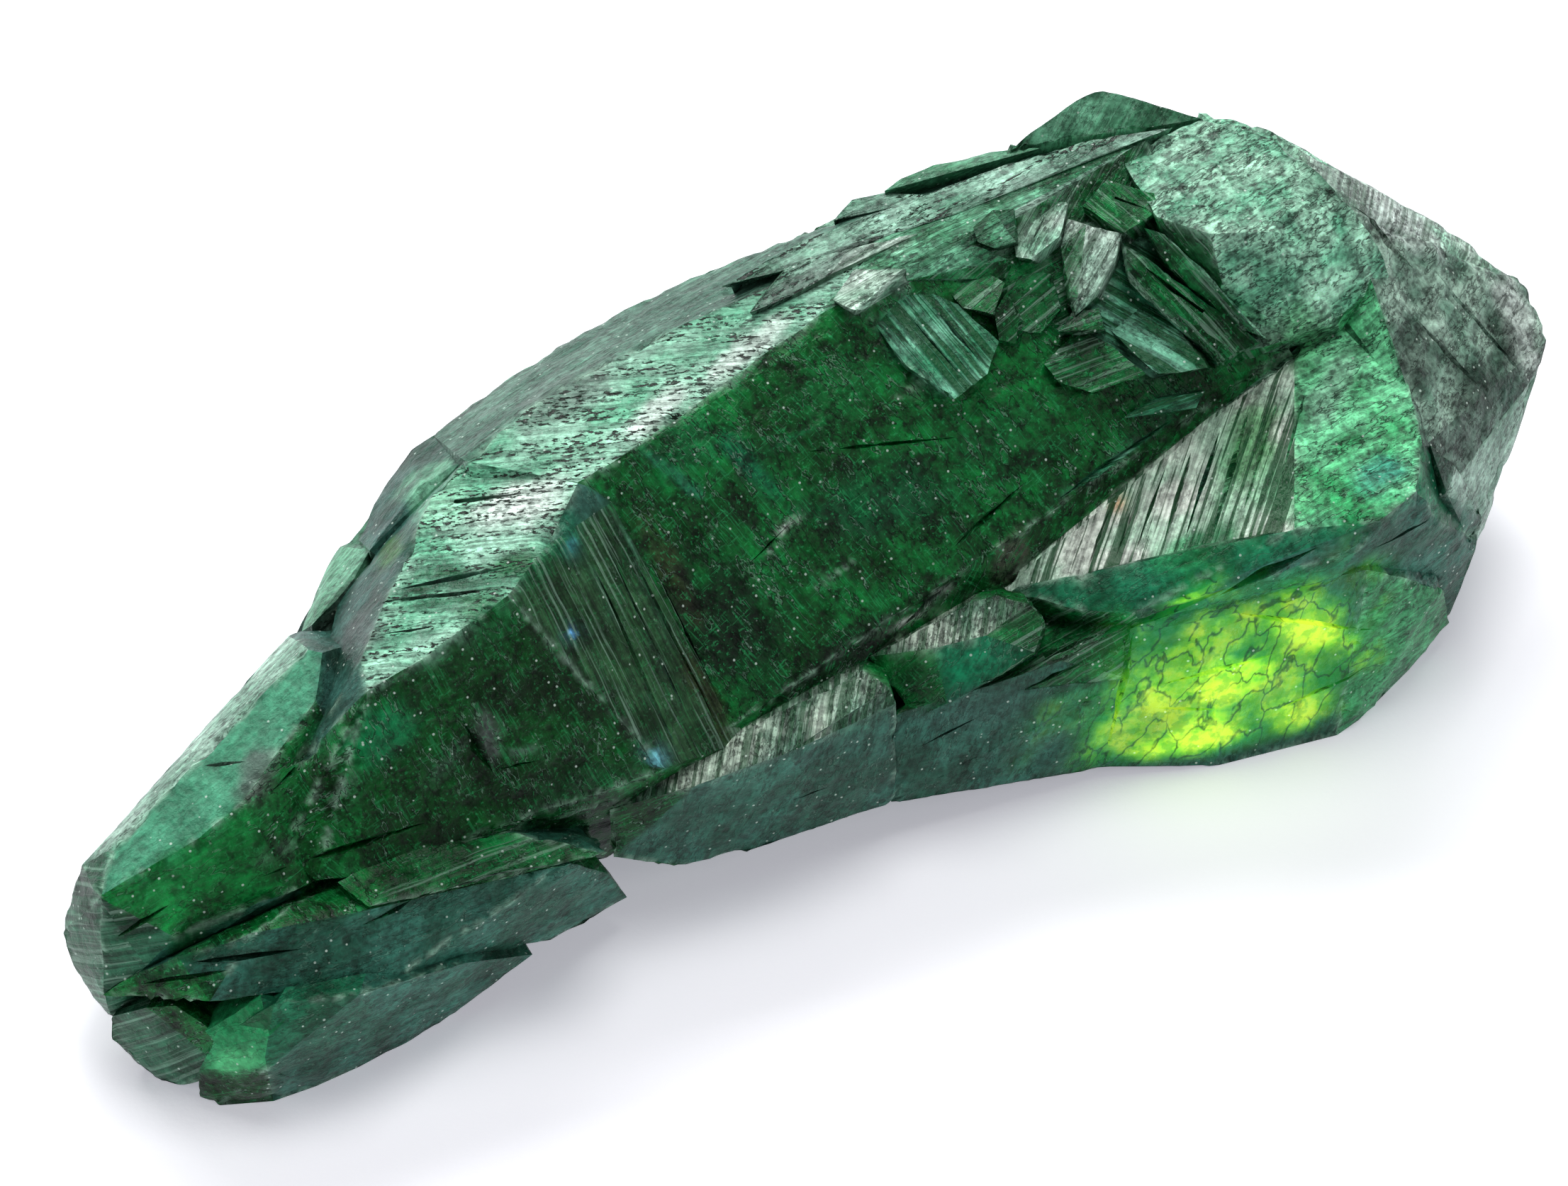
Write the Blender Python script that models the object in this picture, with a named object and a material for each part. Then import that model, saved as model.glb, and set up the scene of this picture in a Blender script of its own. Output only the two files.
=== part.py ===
"""A raw emerald crystal: one broken, intergrown piece of beryl, lying on its side.

The crystal is drawn as it lies on a table, seen from in front and above. Each corner
that such a drawing shows is given by how far right and how far up it stands on the
drawing, and by its height over the table. Each corner behind or below is given by
its plain x, y and height. All of these are in millimetres.

The crystal is built as it grew and broke: convex lumps, prisms and plates, each the
hull of its own corners, are fused into one solid. The solid is then cut off flat where
it rests, and turned so that its length runs along +X.
"""

import math

import bmesh
import bpy
from mathutils import Matrix, Vector
from mathutils.bvhtree import BVHTree

MM = 0.001

# The drawing: its eye looks down at this tilt, from this far away.
DRAWING_TILT = math.radians(45.0)
EYE_DISTANCE = 320.0

# The turn about the upright axis that lays the crystal's length along +X, and the
# point of the drawing's table that becomes the origin.
LENGTH_TURN = math.radians(-25.0)
BASE_CUT = 0.02
ORIGIN = Vector((-0.11, -6.015, BASE_CUT))

EMERALD_GREEN = (0.01, 0.13, 0.04, 1.0)
EMERALD_ROUGHNESS = 0.25
EMERALD_IOR = 1.58

# Flat growth faces, as the height over the drawing's centre and the rise to the right
# and to the back. A corner that stands on one takes its height from it.
TOP_BAND = (20.2, 0.155, 0.007)
SHOULDER_TOP = (21.2, 0.27, 0.0)
FRONT_FACE = (22.9, -0.56, 0.884)
FRONT_LAYER = (23.9, -0.56, 0.884)
SNOUT_SIDE = (23.5, 0.256, 0.159)
CREST = (20.6, 0.06, 0.0)
SLAB_LEFT = (9.0, 0.22, 0.12)
SLAB_RIGHT = (14.8, 0.0, 0.217)
KNOB = (20.6, 0.03, 0.02)
STEP_GREY = (21.2, -0.1, 0.4)
STEP_WHITE = (20.6, 0.155, 0.007)
STEP_SMALL = (19.1, 0.1, 0.2)
STEP_PALE = (17.6, 0.0, 0.35)
STEP_DARK = (22.4, -0.3, 0.6)
STEP_LOW = (21.1, -0.2, 0.5)
STEP_LINED = (19.25, 0.1, 0.1)

# Each lump: corners on the drawing as (right, up, height or face), then corners
# behind and below as (x, y, height).
LUMPS = {
    "main_prism": (
        [
            (-9.7, 5.2, TOP_BAND), (-8.0, 6.2, TOP_BAND), (-5.0, 8.7, TOP_BAND),
            (-3.0, 10.1, TOP_BAND), (1.5, 13.0, TOP_BAND), (-15.0, 6.2, TOP_BAND),
            (-12.0, 8.7, TOP_BAND), (-10.0, 10.0, TOP_BAND), (-5.0, 12.5, TOP_BAND),
            (0.0, 14.6, TOP_BAND),
            (5.0, 17.0, CREST), (9.0, 17.9, CREST), (17.0, 21.3, CREST),
            (-8.0, -10.0, FRONT_FACE), (-5.0, -8.5, FRONT_FACE), (4.0, -4.0, FRONT_FACE),
            (10.0, 0.5, FRONT_FACE), (13.0, 3.0, 10.6), (20.0, 8.0, 12.8), (24.0, 11.5, 14.9),
            (-16.5, 7.4, 14.6), (-15.0, 8.7, 14.6), (-10.0, 12.1, 15.6), (-5.0, 14.5, 16.8),
            (0.0, 16.6, 18.0), (10.0, 20.2, 19.0), (18.0, 22.0, 19.5),
        ],
        [
            (-16.0, 1.0, 6.0), (0.0, 10.5, 8.0), (15.0, 16.0, 8.0),
            (-14.0, -14.0, -0.3), (-6.0, -16.5, 0.8), (6.0, -12.0, 0.8), (16.0, -7.0, -0.3),
            (22.0, -3.0, -0.3), (-14.0, -4.0, -0.3), (0.0, 4.0, -0.3), (18.0, 10.0, -0.3),
        ],
    ),
    "shoulder": (
        [
            (-19.6, -4.6, SHOULDER_TOP), (-16.9, -3.0, SHOULDER_TOP),
            (-13.0, -0.1, SHOULDER_TOP), (-11.2, 2.2, SHOULDER_TOP),
            (-10.2, 4.5, SHOULDER_TOP), (-9.7, 5.15, SHOULDER_TOP),
            (-19.9, -3.2, SHOULDER_TOP), (-18.8, -0.5, SHOULDER_TOP),
            (-17.6, 1.5, SHOULDER_TOP), (-16.6, 4.5, SHOULDER_TOP), (-15.1, 6.1, SHOULDER_TOP),
            (-7.6, 4.6, 17.6), (-5.5, -8.3, 9.6), (-1.5, -6.8, 8.5),
            (-22.0, -13.5, 9.7), (-20.0, -13.3, 9.5), (-14.0, -10.6, 8.9), (-8.0, -9.8, 8.6),
            (-23.6, -12.2, 10.6), (-22.8, -8.0, 13.3), (-20.8, -5.2, 15.0),
            (-21.0, -0.5, 12.6), (-21.4, -3.4, 13.4), (-18.3, 3.0, 14.4),
        ],
        [(-20.0, -12.0, 4.0), (-20.0, -20.0, 0.5), (-8.0, -18.0, 1.0), (-18.0, -10.0, -0.3)],
    ),
    "left_plate_rear": (
        [
            (-20.0, 2.5, 12.8), (-19.0, 4.7, 13.2), (-18.2, 5.8, 13.6), (-17.5, 6.7, 14.0),
            (-16.7, 7.3, 14.4), (-16.0, 7.7, 14.8), (-15.1, 6.2, 16.9), (-17.2, 5.0, 15.9),
            (-18.2, 3.3, 15.0), (-19.5, 2.0, 14.0),
        ],
        [(-18.0, -9.0, 6.0), (-14.0, -2.0, 6.0), (-14.0, -12.0, 10.0)],
    ),
    "left_plate_front": (
        [
            (-22.7, -1.8, 11.7), (-22.2, -1.0, 11.4), (-22.0, 0.0, 11.3), (-21.5, 1.2, 11.4),
            (-20.9, 2.2, 11.7), (-20.3, 2.5, 12.0), (-19.5, 2.0, 13.5), (-20.2, 0.7, 13.2),
            (-21.0, -0.3, 12.9), (-22.2, -1.5, 12.5),
        ],
        [(-17.0, -13.0, 6.0), (-17.0, -8.0, 6.0), (-21.0, -16.0, 7.0)],
    ),
    "snout": (
        [
            (-33.0, -12.8, 10.2), (-31.5, -11.2, 11.0), (-30.0, -9.6, 11.6),
            (-27.5, -7.0, 12.7), (-25.0, -5.0, 13.5),
            (-31.6, -12.0, SNOUT_SIDE), (-28.0, -8.8, SNOUT_SIDE), (-24.5, -4.8, SNOUT_SIDE),
            (-22.4, -2.6, SNOUT_SIDE), (-21.7, -2.8, SNOUT_SIDE),
            (-32.3, -14.3, SNOUT_SIDE), (-30.0, -12.8, SNOUT_SIDE), (-27.5, -11.5, SNOUT_SIDE),
            (-25.5, -9.8, SNOUT_SIDE), (-24.0, -7.5, SNOUT_SIDE), (-22.0, -5.0, SNOUT_SIDE),
            (-23.3, -2.0, 12.8), (-22.7, -1.8, 12.9), (-24.0, -4.0, 12.9),
            (-32.0, -18.8, 6.0), (-30.0, -17.6, 7.5), (-28.6, -16.2, 8.8), (-26.0, -14.4, 9.8),
            (-23.0, -14.0, 9.6), (-34.0, -16.0, 6.5), (-33.7, -15.0, 7.2), (-33.5, -17.2, 5.2),
            (-33.0, -18.4, 4.2), (-32.3, -19.2, 3.6), (-31.6, -20.0, 3.0), (-19.0, -12.0, 9.0),
        ],
        [
            (-28.5, -25.5, -0.3), (-22.0, -15.0, -0.3), (-29.5, -21.0, 3.0),
            (-23.0, -12.5, 6.0), (-18.0, -20.0, -0.3), (-16.0, -10.0, 8.0),
        ],
    ),
    "snout_band": (
        [
            (-32.0, -18.9, 5.8), (-30.5, -17.9, 7.2), (-28.5, -17.1, 8.4), (-25.0, -16.0, 9.6),
            (-20.0, -15.0, 9.2), (-16.0, -13.6, 8.8), (-10.0, -12.7, 7.8),
            (-27.0, -19.2, 7.0), (-22.5, -18.6, 6.8), (-18.0, -18.0, 6.0), (-14.0, -16.3, 5.0),
            (-9.6, -15.1, 2.0), (-11.0, -16.3, 1.7), (-7.4, -14.3, 2.2), (-8.3, -13.2, 5.0),
        ],
        [(-27.0, -24.0, -0.3), (-20.0, -22.0, -0.3), (-12.0, -17.0, 1.4), (-12.0, -17.0, 7.0)],
    ),
    "snout_foot": (
        [
            (-31.6, -19.9, 3.6), (-31.6, -21.0, 1.6), (-31.0, -21.6, 0.8), (-30.0, -22.4, 0.0),
            (-29.3, -22.9, 0.0), (-28.5, -23.2, 0.3), (-27.4, -20.2, 5.2), (-26.5, -20.9, 4.6),
            (-26.0, -22.6, 2.4), (-30.0, -19.5, 5.4), (-28.6, -19.4, 5.8),
        ],
        [(-25.0, -25.0, -0.3), (-24.0, -20.0, 3.0)],
    ),
    "snout_shell": (
        [
            (-27.5, -22.4, 2.6), (-26.7, -21.0, 4.6), (-25.3, -20.6, 5.4), (-24.4, -21.8, 4.4),
            (-24.3, -22.4, 3.6), (-27.5, -23.7, 0.2), (-26.5, -24.1, 0.0), (-24.0, -23.9, 0.0),
            (-22.0, -23.2, 0.0), (-20.0, -22.3, 0.0), (-18.0, -21.2, 0.0), (-16.0, -20.1, 0.2),
            (-15.0, -19.3, 0.6), (-14.2, -18.3, 1.4), (-11.8, -17.0, 2.0),
            (-24.0, -19.3, 7.2), (-20.0, -18.9, 6.8), (-15.0, -17.4, 5.0),
        ],
        [(-22.0, -24.0, -0.3), (-14.0, -18.0, 0.8), (-16.0, -18.0, 5.0)],
    ),
    "snout_back_rib": (
        [
            (-27.2, -20.6, 5.0), (-24.6, -19.0, 7.0), (-23.0, -19.6, 6.6), (-24.2, -20.8, 5.6),
            (-26.4, -21.4, 4.4),
        ],
        [(-24.0, -24.0, 3.0), (-22.0, -22.0, 3.0)],
    ),
    "under_ledge": (
        [
            (-21.0, -13.6, 9.6), (-17.5, -12.0, 9.8), (-13.0, -11.2, 9.4), (-8.2, -12.2, 8.6),
            (-15.0, -12.9, 9.2), (-19.5, -14.8, 9.4),
        ],
        [(-18.0, -22.0, 5.0), (-9.0, -19.0, 5.0)],
    ),
    "middle_lip": (
        [
            (-5.2, -8.1, 8.6), (-2.0, -7.4, 8.9), (0.0, -6.1, 9.2), (3.7, -3.6, 9.8),
            (-4.0, -9.0, 8.5), (0.0, -7.6, 8.9), (3.0, -5.7, 9.4), (5.0, -4.5, 9.7),
            (5.3, -5.2, 9.0), (-8.2, -10.2, 7.8), (-7.5, -9.6, 8.0), (-8.0, -12.4, 4.4),
            (-5.0, -12.8, 2.4), (-2.0, -12.2, 1.9), (0.0, -11.5, 1.9), (4.0, -10.2, 2.2),
            (5.2, -9.8, 2.4),
        ],
        [(-4.0, -12.0, 2.4), (4.0, -10.0, 2.4), (4.0, -10.0, 8.0), (-6.0, -14.0, 7.0)],
    ),
    "right_lip": (
        [
            (4.0, -3.0, 9.6), (5.5, -2.2, 10.0), (7.5, -1.2, 10.6), (8.7, -0.5, 10.9),
            (10.0, -0.1, 11.1), (11.5, -0.5, 11.0), (12.3, -1.3, 10.5),
            (7.0, -2.6, 10.2), (9.5, -2.0, 10.6), (11.8, -2.8, 9.8), (10.0, -3.9, 8.9),
            (8.6, -4.5, 8.4), (7.7, -5.2, 7.9), (6.2, -5.9, 7.0),
        ],
        [(6.0, -10.0, 2.0), (12.0, -7.0, 2.0), (10.0, -6.0, 8.0)],
    ),
    "lower_band": (
        [
            (5.2, -5.7, 7.6), (8.0, -4.9, 7.9), (11.0, -3.9, 8.3), (13.0, -3.2, 8.5),
            (15.0, -2.2, 8.8), (16.3, -1.6, 9.0), (16.3, -4.0, 6.6), (15.4, -7.0, 2.4),
            (15.0, -8.1, 0.7), (5.0, -9.9, 2.3), (7.0, -9.4, 2.1), (9.0, -9.0, 1.8),
            (12.0, -8.7, 1.2), (14.0, -8.4, 0.8), (11.0, -6.0, 5.2),
        ],
        [(5.0, -8.0, 2.0), (17.0, -6.0, 0.5), (14.0, -4.0, 8.0)],
    ),
    "right_slab": (
        [
            (10.2, 0.2, SLAB_LEFT), (13.0, 3.0, SLAB_LEFT), (16.0, 5.0, SLAB_LEFT),
            (20.0, 8.0, SLAB_LEFT), (21.3, 9.2, SLAB_LEFT), (14.0, 0.9, SLAB_LEFT),
            (17.0, 1.9, SLAB_LEFT), (20.2, 2.4, SLAB_LEFT), (22.5, 3.2, SLAB_LEFT),
            (24.0, 11.3, SLAB_RIGHT), (26.0, 13.0, SLAB_RIGHT), (28.5, 14.3, SLAB_RIGHT),
            (28.9, 9.5, SLAB_RIGHT), (30.0, 7.0, SLAB_RIGHT), (29.8, 4.8, SLAB_RIGHT),
            (28.0, 3.4, SLAB_RIGHT), (24.0, 3.0, SLAB_RIGHT),
            (14.0, -0.8, 9.8), (16.5, -1.0, 9.9), (20.0, 0.0, 10.5), (25.0, 1.9, 11.4),
            (27.0, 2.0, 11.6), (31.0, 3.3, 10.4), (31.3, -1.0, 2.2), (32.0, 0.7, 4.4),
            (32.7, 2.5, 6.6),
        ],
        [
            (14.0, -9.0, 1.0), (20.0, -9.0, -0.3), (27.0, -5.0, -0.3), (29.5, -3.0, -0.3),
            (28.0, 0.0, -0.3), (14.0, -4.0, -0.3), (24.0, 2.0, -0.3),
        ],
    ),
    "glowing_foot": (
        [
            (16.3, -1.7, 9.1), (18.5, -0.9, 9.5), (21.0, 0.0, 9.9), (25.0, 1.4, 10.5),
            (27.5, 1.1, 10.0), (31.0, 0.3, 6.2), (31.3, -1.4, 1.5), (30.0, -2.9, 0.4),
            (29.0, -4.0, 0.0), (28.0, -5.0, 0.0), (27.0, -6.0, 0.0), (26.0, -6.7, 0.0),
            (24.5, -7.0, 0.0), (22.5, -7.5, 0.0), (20.5, -8.1, 0.0), (18.0, -8.0, 0.3),
            (16.0, -8.1, 0.4), (14.6, -8.2, 0.8), (14.4, -6.8, 2.8), (15.2, -5.0, 5.4),
            (16.2, -3.4, 7.4), (20.0, -3.2, 6.8), (25.5, -1.2, 7.4), (28.0, -2.0, 4.8),
        ],
        [(28.0, -1.0, -0.3), (17.0, -4.0, -0.3), (27.0, 0.0, 8.0), (22.0, -9.0, -0.3)],
    ),
    "blunt_end": (
        [
            (32.7, 2.5, 5.8), (33.3, 4.3, 6.8), (34.3, 7.0, 8.2), (34.8, 8.7, 9.2),
            (35.5, 10.5, 10.3), (35.9, 11.9, 10.8), (35.5, 13.3, 11.6), (34.5, 14.8, 12.6),
            (33.0, 15.9, 13.6), (31.0, 17.2, 15.0), (29.0, 18.3, 16.4), (27.0, 19.4, 17.7),
            (25.0, 20.4, 18.9), (23.0, 21.7, 19.6), (21.0, 22.4, 19.8), (19.5, 22.6, 19.7),
            (28.4, 14.9, 16.8), (29.0, 9.3, 14.2), (30.2, 7.0, 13.0), (31.0, 4.5, 11.0),
            (32.4, 2.3, 6.8), (26.5, 18.0, 19.2),
        ],
        [
            (18.0, 15.0, 8.0), (28.0, 13.0, 7.0), (33.0, 8.0, 4.0), (18.0, 10.0, -0.3),
            (28.0, 7.0, -0.3), (29.5, 0.0, -0.3),
        ],
    ),
    "end_sliver": (
        [
            (30.4, 6.9, 13.3), (31.6, 6.0, 12.0), (33.0, 3.7, 7.8), (32.3, 2.3, 6.9),
            (31.2, 4.6, 11.6),
        ],
        [(27.0, -3.0, 8.0), (27.0, 2.0, 6.0)],
    ),
    "pale_knob": (
        [
            (16.0, 20.2, KNOB), (18.0, 21.6, KNOB), (19.5, 22.2, KNOB), (22.0, 22.0, KNOB),
            (24.5, 20.4, KNOB), (17.5, 17.7, KNOB), (20.0, 16.9, KNOB), (23.0, 17.0, KNOB),
            (26.3, 18.5, 20.6), (28.0, 16.3, 18.6), (28.4, 14.9, 17.0), (27.0, 14.0, 16.8),
            (24.0, 13.2, 17.2), (20.6, 14.6, 18.8), (26.0, 12.8, 16.4), (24.0, 12.0, 16.0),
        ],
        [(19.0, 2.0, 12.0), (26.0, 4.0, 11.0), (24.0, 8.0, 12.0)],
    ),
    "crest_strip": (
        [
            (-3.0, 14.4, 20.2), (1.0, 16.6, 20.5), (5.0, 18.1, 20.9), (10.0, 20.0, 21.3),
            (14.0, 21.2, 21.6), (18.3, 21.9, 21.8), (0.5, 15.3, 20.5), (3.0, 16.4, 20.8),
            (8.0, 17.8, 21.1), (13.0, 19.9, 21.5),
        ],
        [(0.0, 5.0, 14.0), (14.0, 10.0, 14.0)],
    ),
    "layered_top": (
        [
            (-1.6, 13.2, 20.3), (0.4, 14.0, 20.5), (2.2, 15.0, 20.8), (6.3, 16.9, 21.0),
            (3.0, 16.2, 20.9), (0.2, 15.4, 20.5),
        ],
        [(0.0, 0.0, 15.0), (5.0, 2.0, 15.0)],
    ),
    "front_layer": (
        [
            (5.0, 7.1, FRONT_FACE), (7.5, 7.3, FRONT_LAYER), (10.0, 8.0, FRONT_LAYER),
            (15.0, 9.0, FRONT_LAYER), (17.3, 9.8, 14.4), (20.0, 10.2, 14.5),
            (22.0, 11.0, 15.0), (24.0, 12.0, 15.9), (21.5, 14.0, 17.2), (17.6, 17.6, 19.9),
            (9.0, 17.2, FRONT_FACE), (2.5, 13.2, FRONT_FACE), (3.0, 9.0, FRONT_FACE),
        ],
        [(5.0, -2.0, 12.0), (18.0, 2.0, 10.0), (12.0, 6.0, 14.0)],
    ),
    "step_grey": (
        [
            (4.3, 12.6, STEP_GREY), (5.3, 14.0, STEP_GREY), (7.0, 14.1, STEP_GREY),
            (8.2, 13.6, STEP_GREY), (10.1, 11.8, STEP_GREY), (9.6, 10.3, STEP_GREY),
            (8.0, 9.1, STEP_GREY), (5.5, 10.8, STEP_GREY),
        ],
        [(6.0, -1.0, 14.0), (9.0, 0.0, 14.0)],
    ),
    "step_white": (
        [
            (2.3, 13.8, STEP_WHITE), (3.4, 13.2, STEP_WHITE), (4.4, 14.2, STEP_WHITE),
            (4.7, 14.8, STEP_WHITE), (5.7, 15.3, STEP_WHITE), (3.3, 15.2, STEP_WHITE),
        ],
        [(3.0, 1.0, 16.0), (6.0, 3.0, 16.0)],
    ),
    "step_small": (
        [
            (7.9, 14.0, STEP_SMALL), (9.1, 15.3, STEP_SMALL), (10.4, 14.6, STEP_SMALL),
            (9.8, 13.1, STEP_SMALL), (8.4, 13.4, STEP_SMALL),
        ],
        [(9.0, 3.0, 14.0), (11.0, 3.0, 14.0)],
    ),
    "step_dark": (
        [
            (11.0, 14.9, STEP_DARK), (12.6, 15.1, STEP_DARK), (13.0, 13.4, STEP_DARK),
            (12.1, 12.2, STEP_DARK), (10.9, 12.4, STEP_DARK), (10.4, 13.4, STEP_DARK),
        ],
        [(11.0, 2.0, 13.0), (13.0, 3.0, 13.0)],
    ),
    "step_lined": (
        [
            (10.8, 16.5, STEP_LINED), (12.2, 18.5, STEP_LINED), (13.4, 18.4, STEP_LINED),
            (13.0, 16.8, STEP_LINED), (11.6, 15.7, STEP_LINED), (10.9, 15.8, STEP_LINED),
        ],
        [(12.0, 5.0, 15.0), (14.0, 5.0, 15.0)],
    ),
    "step_curved": (
        [
            (8.9, 17.2, 21.2), (9.8, 18.0, 21.5), (10.8, 18.1, 21.3), (10.9, 16.5, 20.9),
            (9.9, 16.2, 20.8), (9.1, 16.5, 21.0),
        ],
        [(10.0, 5.0, 16.0), (12.0, 5.0, 16.0)],
    ),
    "white_roof": (
        [
            (13.7, 13.0, 18.7), (14.2, 17.3, 20.9), (13.0, 16.2, 20.3), (13.3, 17.6, 20.7),
            (15.9, 16.9, 20.4), (15.5, 15.6, 19.8), (14.7, 13.9, 19.0), (13.2, 14.4, 19.2),
        ],
        [(13.0, 4.0, 13.0), (16.0, 5.0, 13.0)],
    ),
    "step_pale": (
        [
            (15.1, 12.6, STEP_PALE), (15.8, 13.4, STEP_PALE), (16.5, 14.3, STEP_PALE),
            (17.2, 13.9, STEP_PALE), (20.2, 10.5, STEP_PALE), (17.6, 10.2, STEP_PALE),
        ],
        [(16.0, 3.0, 12.0), (20.0, 3.0, 12.0)],
    ),
    "striped_rib": (
        [
            (16.1, 16.2, 20.2), (21.3, 11.3, 17.0), (16.2, 14.6, 19.1), (20.4, 10.6, 16.3),
            (17.5, 15.4, 19.5), (22.4, 11.8, 16.7), (15.8, 16.6, 20.1),
        ],
        [(17.0, 5.0, 13.0), (22.0, 4.0, 12.0)],
    ),
    "striped_square": (
        [
            (14.0, 18.2, 20.9), (15.2, 19.4, 21.5), (17.4, 18.8, 21.3), (17.6, 18.0, 21.0),
            (16.0, 16.9, 20.6),
        ],
        [(15.0, 5.0, 15.0), (18.0, 6.0, 15.0)],
    ),
    "step_low": (
        [
            (12.2, 10.8, STEP_LOW), (13.8, 12.4, STEP_LOW), (15.2, 11.8, STEP_LOW),
            (17.0, 10.3, STEP_LOW), (14.5, 9.4, STEP_LOW), (12.9, 9.9, STEP_LOW),
        ],
        [(13.0, 2.0, 12.0), (16.0, 2.0, 12.0)],
    ),
    "fill_left": (
        [
            (5.8, 14.7, 20.5), (5.6, 15.4, 20.9), (7.2, 16.5, 21.2), (9.2, 16.3, 21.0),
            (10.6, 15.7, 20.5), (10.4, 14.8, 19.8), (8.0, 15.2, 20.2),
        ],
        [(7.0, 2.0, 15.0), (11.0, 3.0, 15.0)],
    ),
    "fill_middle": (
        [
            (9.9, 13.2, 19.4), (10.5, 14.2, 19.9), (11.1, 13.0, 19.0), (10.9, 11.7, 18.3),
            (10.1, 11.9, 18.6),
        ],
        [(10.0, 1.0, 14.0), (12.0, 1.0, 14.0)],
    ),
    "fill_foot": (
        [
            (12.9, 12.3, 18.6), (13.5, 13.2, 18.7), (14.8, 13.4, 18.7), (15.1, 12.4, 18.2),
            (14.0, 12.2, 18.2),
        ],
        [(13.0, 2.0, 13.0), (15.0, 3.0, 13.0)],
    ),
    "fill_right": (
        [
            (16.9, 17.2, 20.5), (17.9, 16.9, 20.5), (19.6, 15.2, 19.6), (21.4, 13.2, 18.0),
            (22.6, 12.0, 16.9), (21.4, 12.4, 17.2), (18.2, 15.2, 19.3),
        ],
        [(18.0, 5.0, 13.0), (23.0, 4.0, 12.0)],
    ),
    "low_chip": (
        [(15.9, 8.2, 15.4), (17.5, 9.1, 15.5), (19.8, 9.5, 15.3), (19.4, 8.7, 14.9)],
        [(17.0, 2.0, 10.0), (19.0, 2.0, 10.0), (18.0, 4.0, 10.0)],
    ),
    "back_ridge_low": (
        [(2.3, 17.5, 18.6), (3.2, 18.5, 19.0), (4.8, 18.85, 19.0), (7.0, 18.6, 19.6)],
        [(3.0, 9.0, 12.0), (9.0, 11.0, 12.0)],
    ),
    "back_ridge_middle": (
        [
            (4.7, 18.9, 19.4), (5.5, 19.5, 19.6), (7.0, 20.1, 19.8), (9.0, 20.4, 20.0),
            (10.6, 20.9, 20.2), (12.0, 20.9, 20.8),
        ],
        [(6.0, 10.0, 12.0), (14.0, 13.0, 12.0)],
    ),
    "peak": (
        [
            (10.4, 20.8, 20.4), (12.0, 21.9, 20.8), (13.5, 22.8, 21.4), (14.2, 23.5, 21.8),
            (15.0, 23.65, 21.8), (16.0, 23.3, 21.5), (17.5, 22.5, 20.6), (18.4, 22.4, 20.2),
            (19.6, 22.3, 20.4),
        ],
        [(11.0, 12.0, 12.0), (19.0, 13.0, 12.0), (14.0, 15.0, 12.0)],
    ),
    "neck_behind": (
        [],
        [
            (-22.8, -16.2, 10.5), (-22.8, -13.2, 5.0), (-21.5, -12.5, 0.3), (-19.8, -9.3, 12.0),
            (-19.2, -6.8, 5.0), (-17.0, -7.0, -0.3), (-16.2, -4.6, 13.8), (-15.0, -0.5, 6.0),
            (-13.0, -3.5, -0.3), (-12.0, -12.0, 2.0), (-20.0, -17.0, 2.0),
        ],
    ),
    "right_under": (
        [],
        [
            (16.0, -6.0, -0.3), (22.0, -8.0, -0.3), (29.0, -3.5, -0.3), (30.2, 1.0, 0.6),
            (28.5, 8.5, -0.3), (18.0, 11.0, -0.3), (15.0, 14.5, 6.0), (29.5, 12.5, 6.0),
            (32.0, 4.0, 6.0), (20.0, 0.0, 8.0), (24.0, 15.0, 8.0),
        ],
    ),
    "behind_long_face": (
        [],
        [
            (-13.0, 1.6, 3.5), (-12.6, 2.6, 9.6), (3.0, 11.2, 3.0), (4.5, 12.4, 10.4),
            (-10.0, 2.2, 12.6), (2.0, 9.6, 13.6), (-8.0, 0.0, 1.4), (2.0, 6.6, 1.0),
        ],
    ),
    "behind_raised_face": (
        [],
        [
            (5.2, 12.4, 4.6), (6.0, 13.2, 12.0), (14.6, 16.6, 4.0), (16.4, 17.4, 11.6),
            (8.0, 11.4, 15.6), (16.0, 15.0, 15.8), (7.0, 9.6, 1.8), (16.0, 13.4, 1.6),
        ],
    ),
    "behind_lath": (
        [],
        [
            (-6.0, 7.4, 8.0), (-5.6, 7.8, 9.4), (12.0, 16.4, 8.8), (12.4, 16.6, 10.4),
            (-4.0, 5.0, 7.0), (12.0, 13.0, 8.0), (-3.0, 6.6, 11.6), (11.0, 14.4, 12.6),
        ],
    ),
    "behind_top_step": (
        [],
        [
            (-9.0, 1.4, 15.0), (-7.6, 3.2, 13.6), (3.0, 7.8, 17.0), (4.4, 10.2, 15.4),
            (-4.0, 0.0, 14.0), (4.0, 5.0, 14.0),
        ],
    ),
    "behind_end_plate": (
        [],
        [
            (17.4, 16.6, 5.0), (18.6, 17.0, 13.0), (27.6, 14.6, 4.4), (28.4, 14.0, 12.4),
            (18.4, 13.6, 16.8), (26.0, 11.4, 15.8), (19.0, 13.4, 1.4), (27.0, 10.6, 1.4),
        ],
    ),
    "behind_foot_flake": (
        [],
        [
            (-4.6, 3.0, 0.4), (-3.8, 5.2, 2.8), (5.0, 8.6, 0.6), (5.6, 10.6, 3.2),
            (-2.0, 2.0, 3.0), (4.0, 5.0, 3.0),
        ],
    ),
    "snout_behind_plate": (
        [],
        [
            (-31.0, -26.4, 3.4), (-30.4, -25.8, 8.6), (-25.0, -17.4, 3.0), (-24.6, -18.2, 9.4),
            (-27.0, -22.0, 2.0), (-26.0, -21.2, 10.6),
        ],
    ),
}


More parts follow.
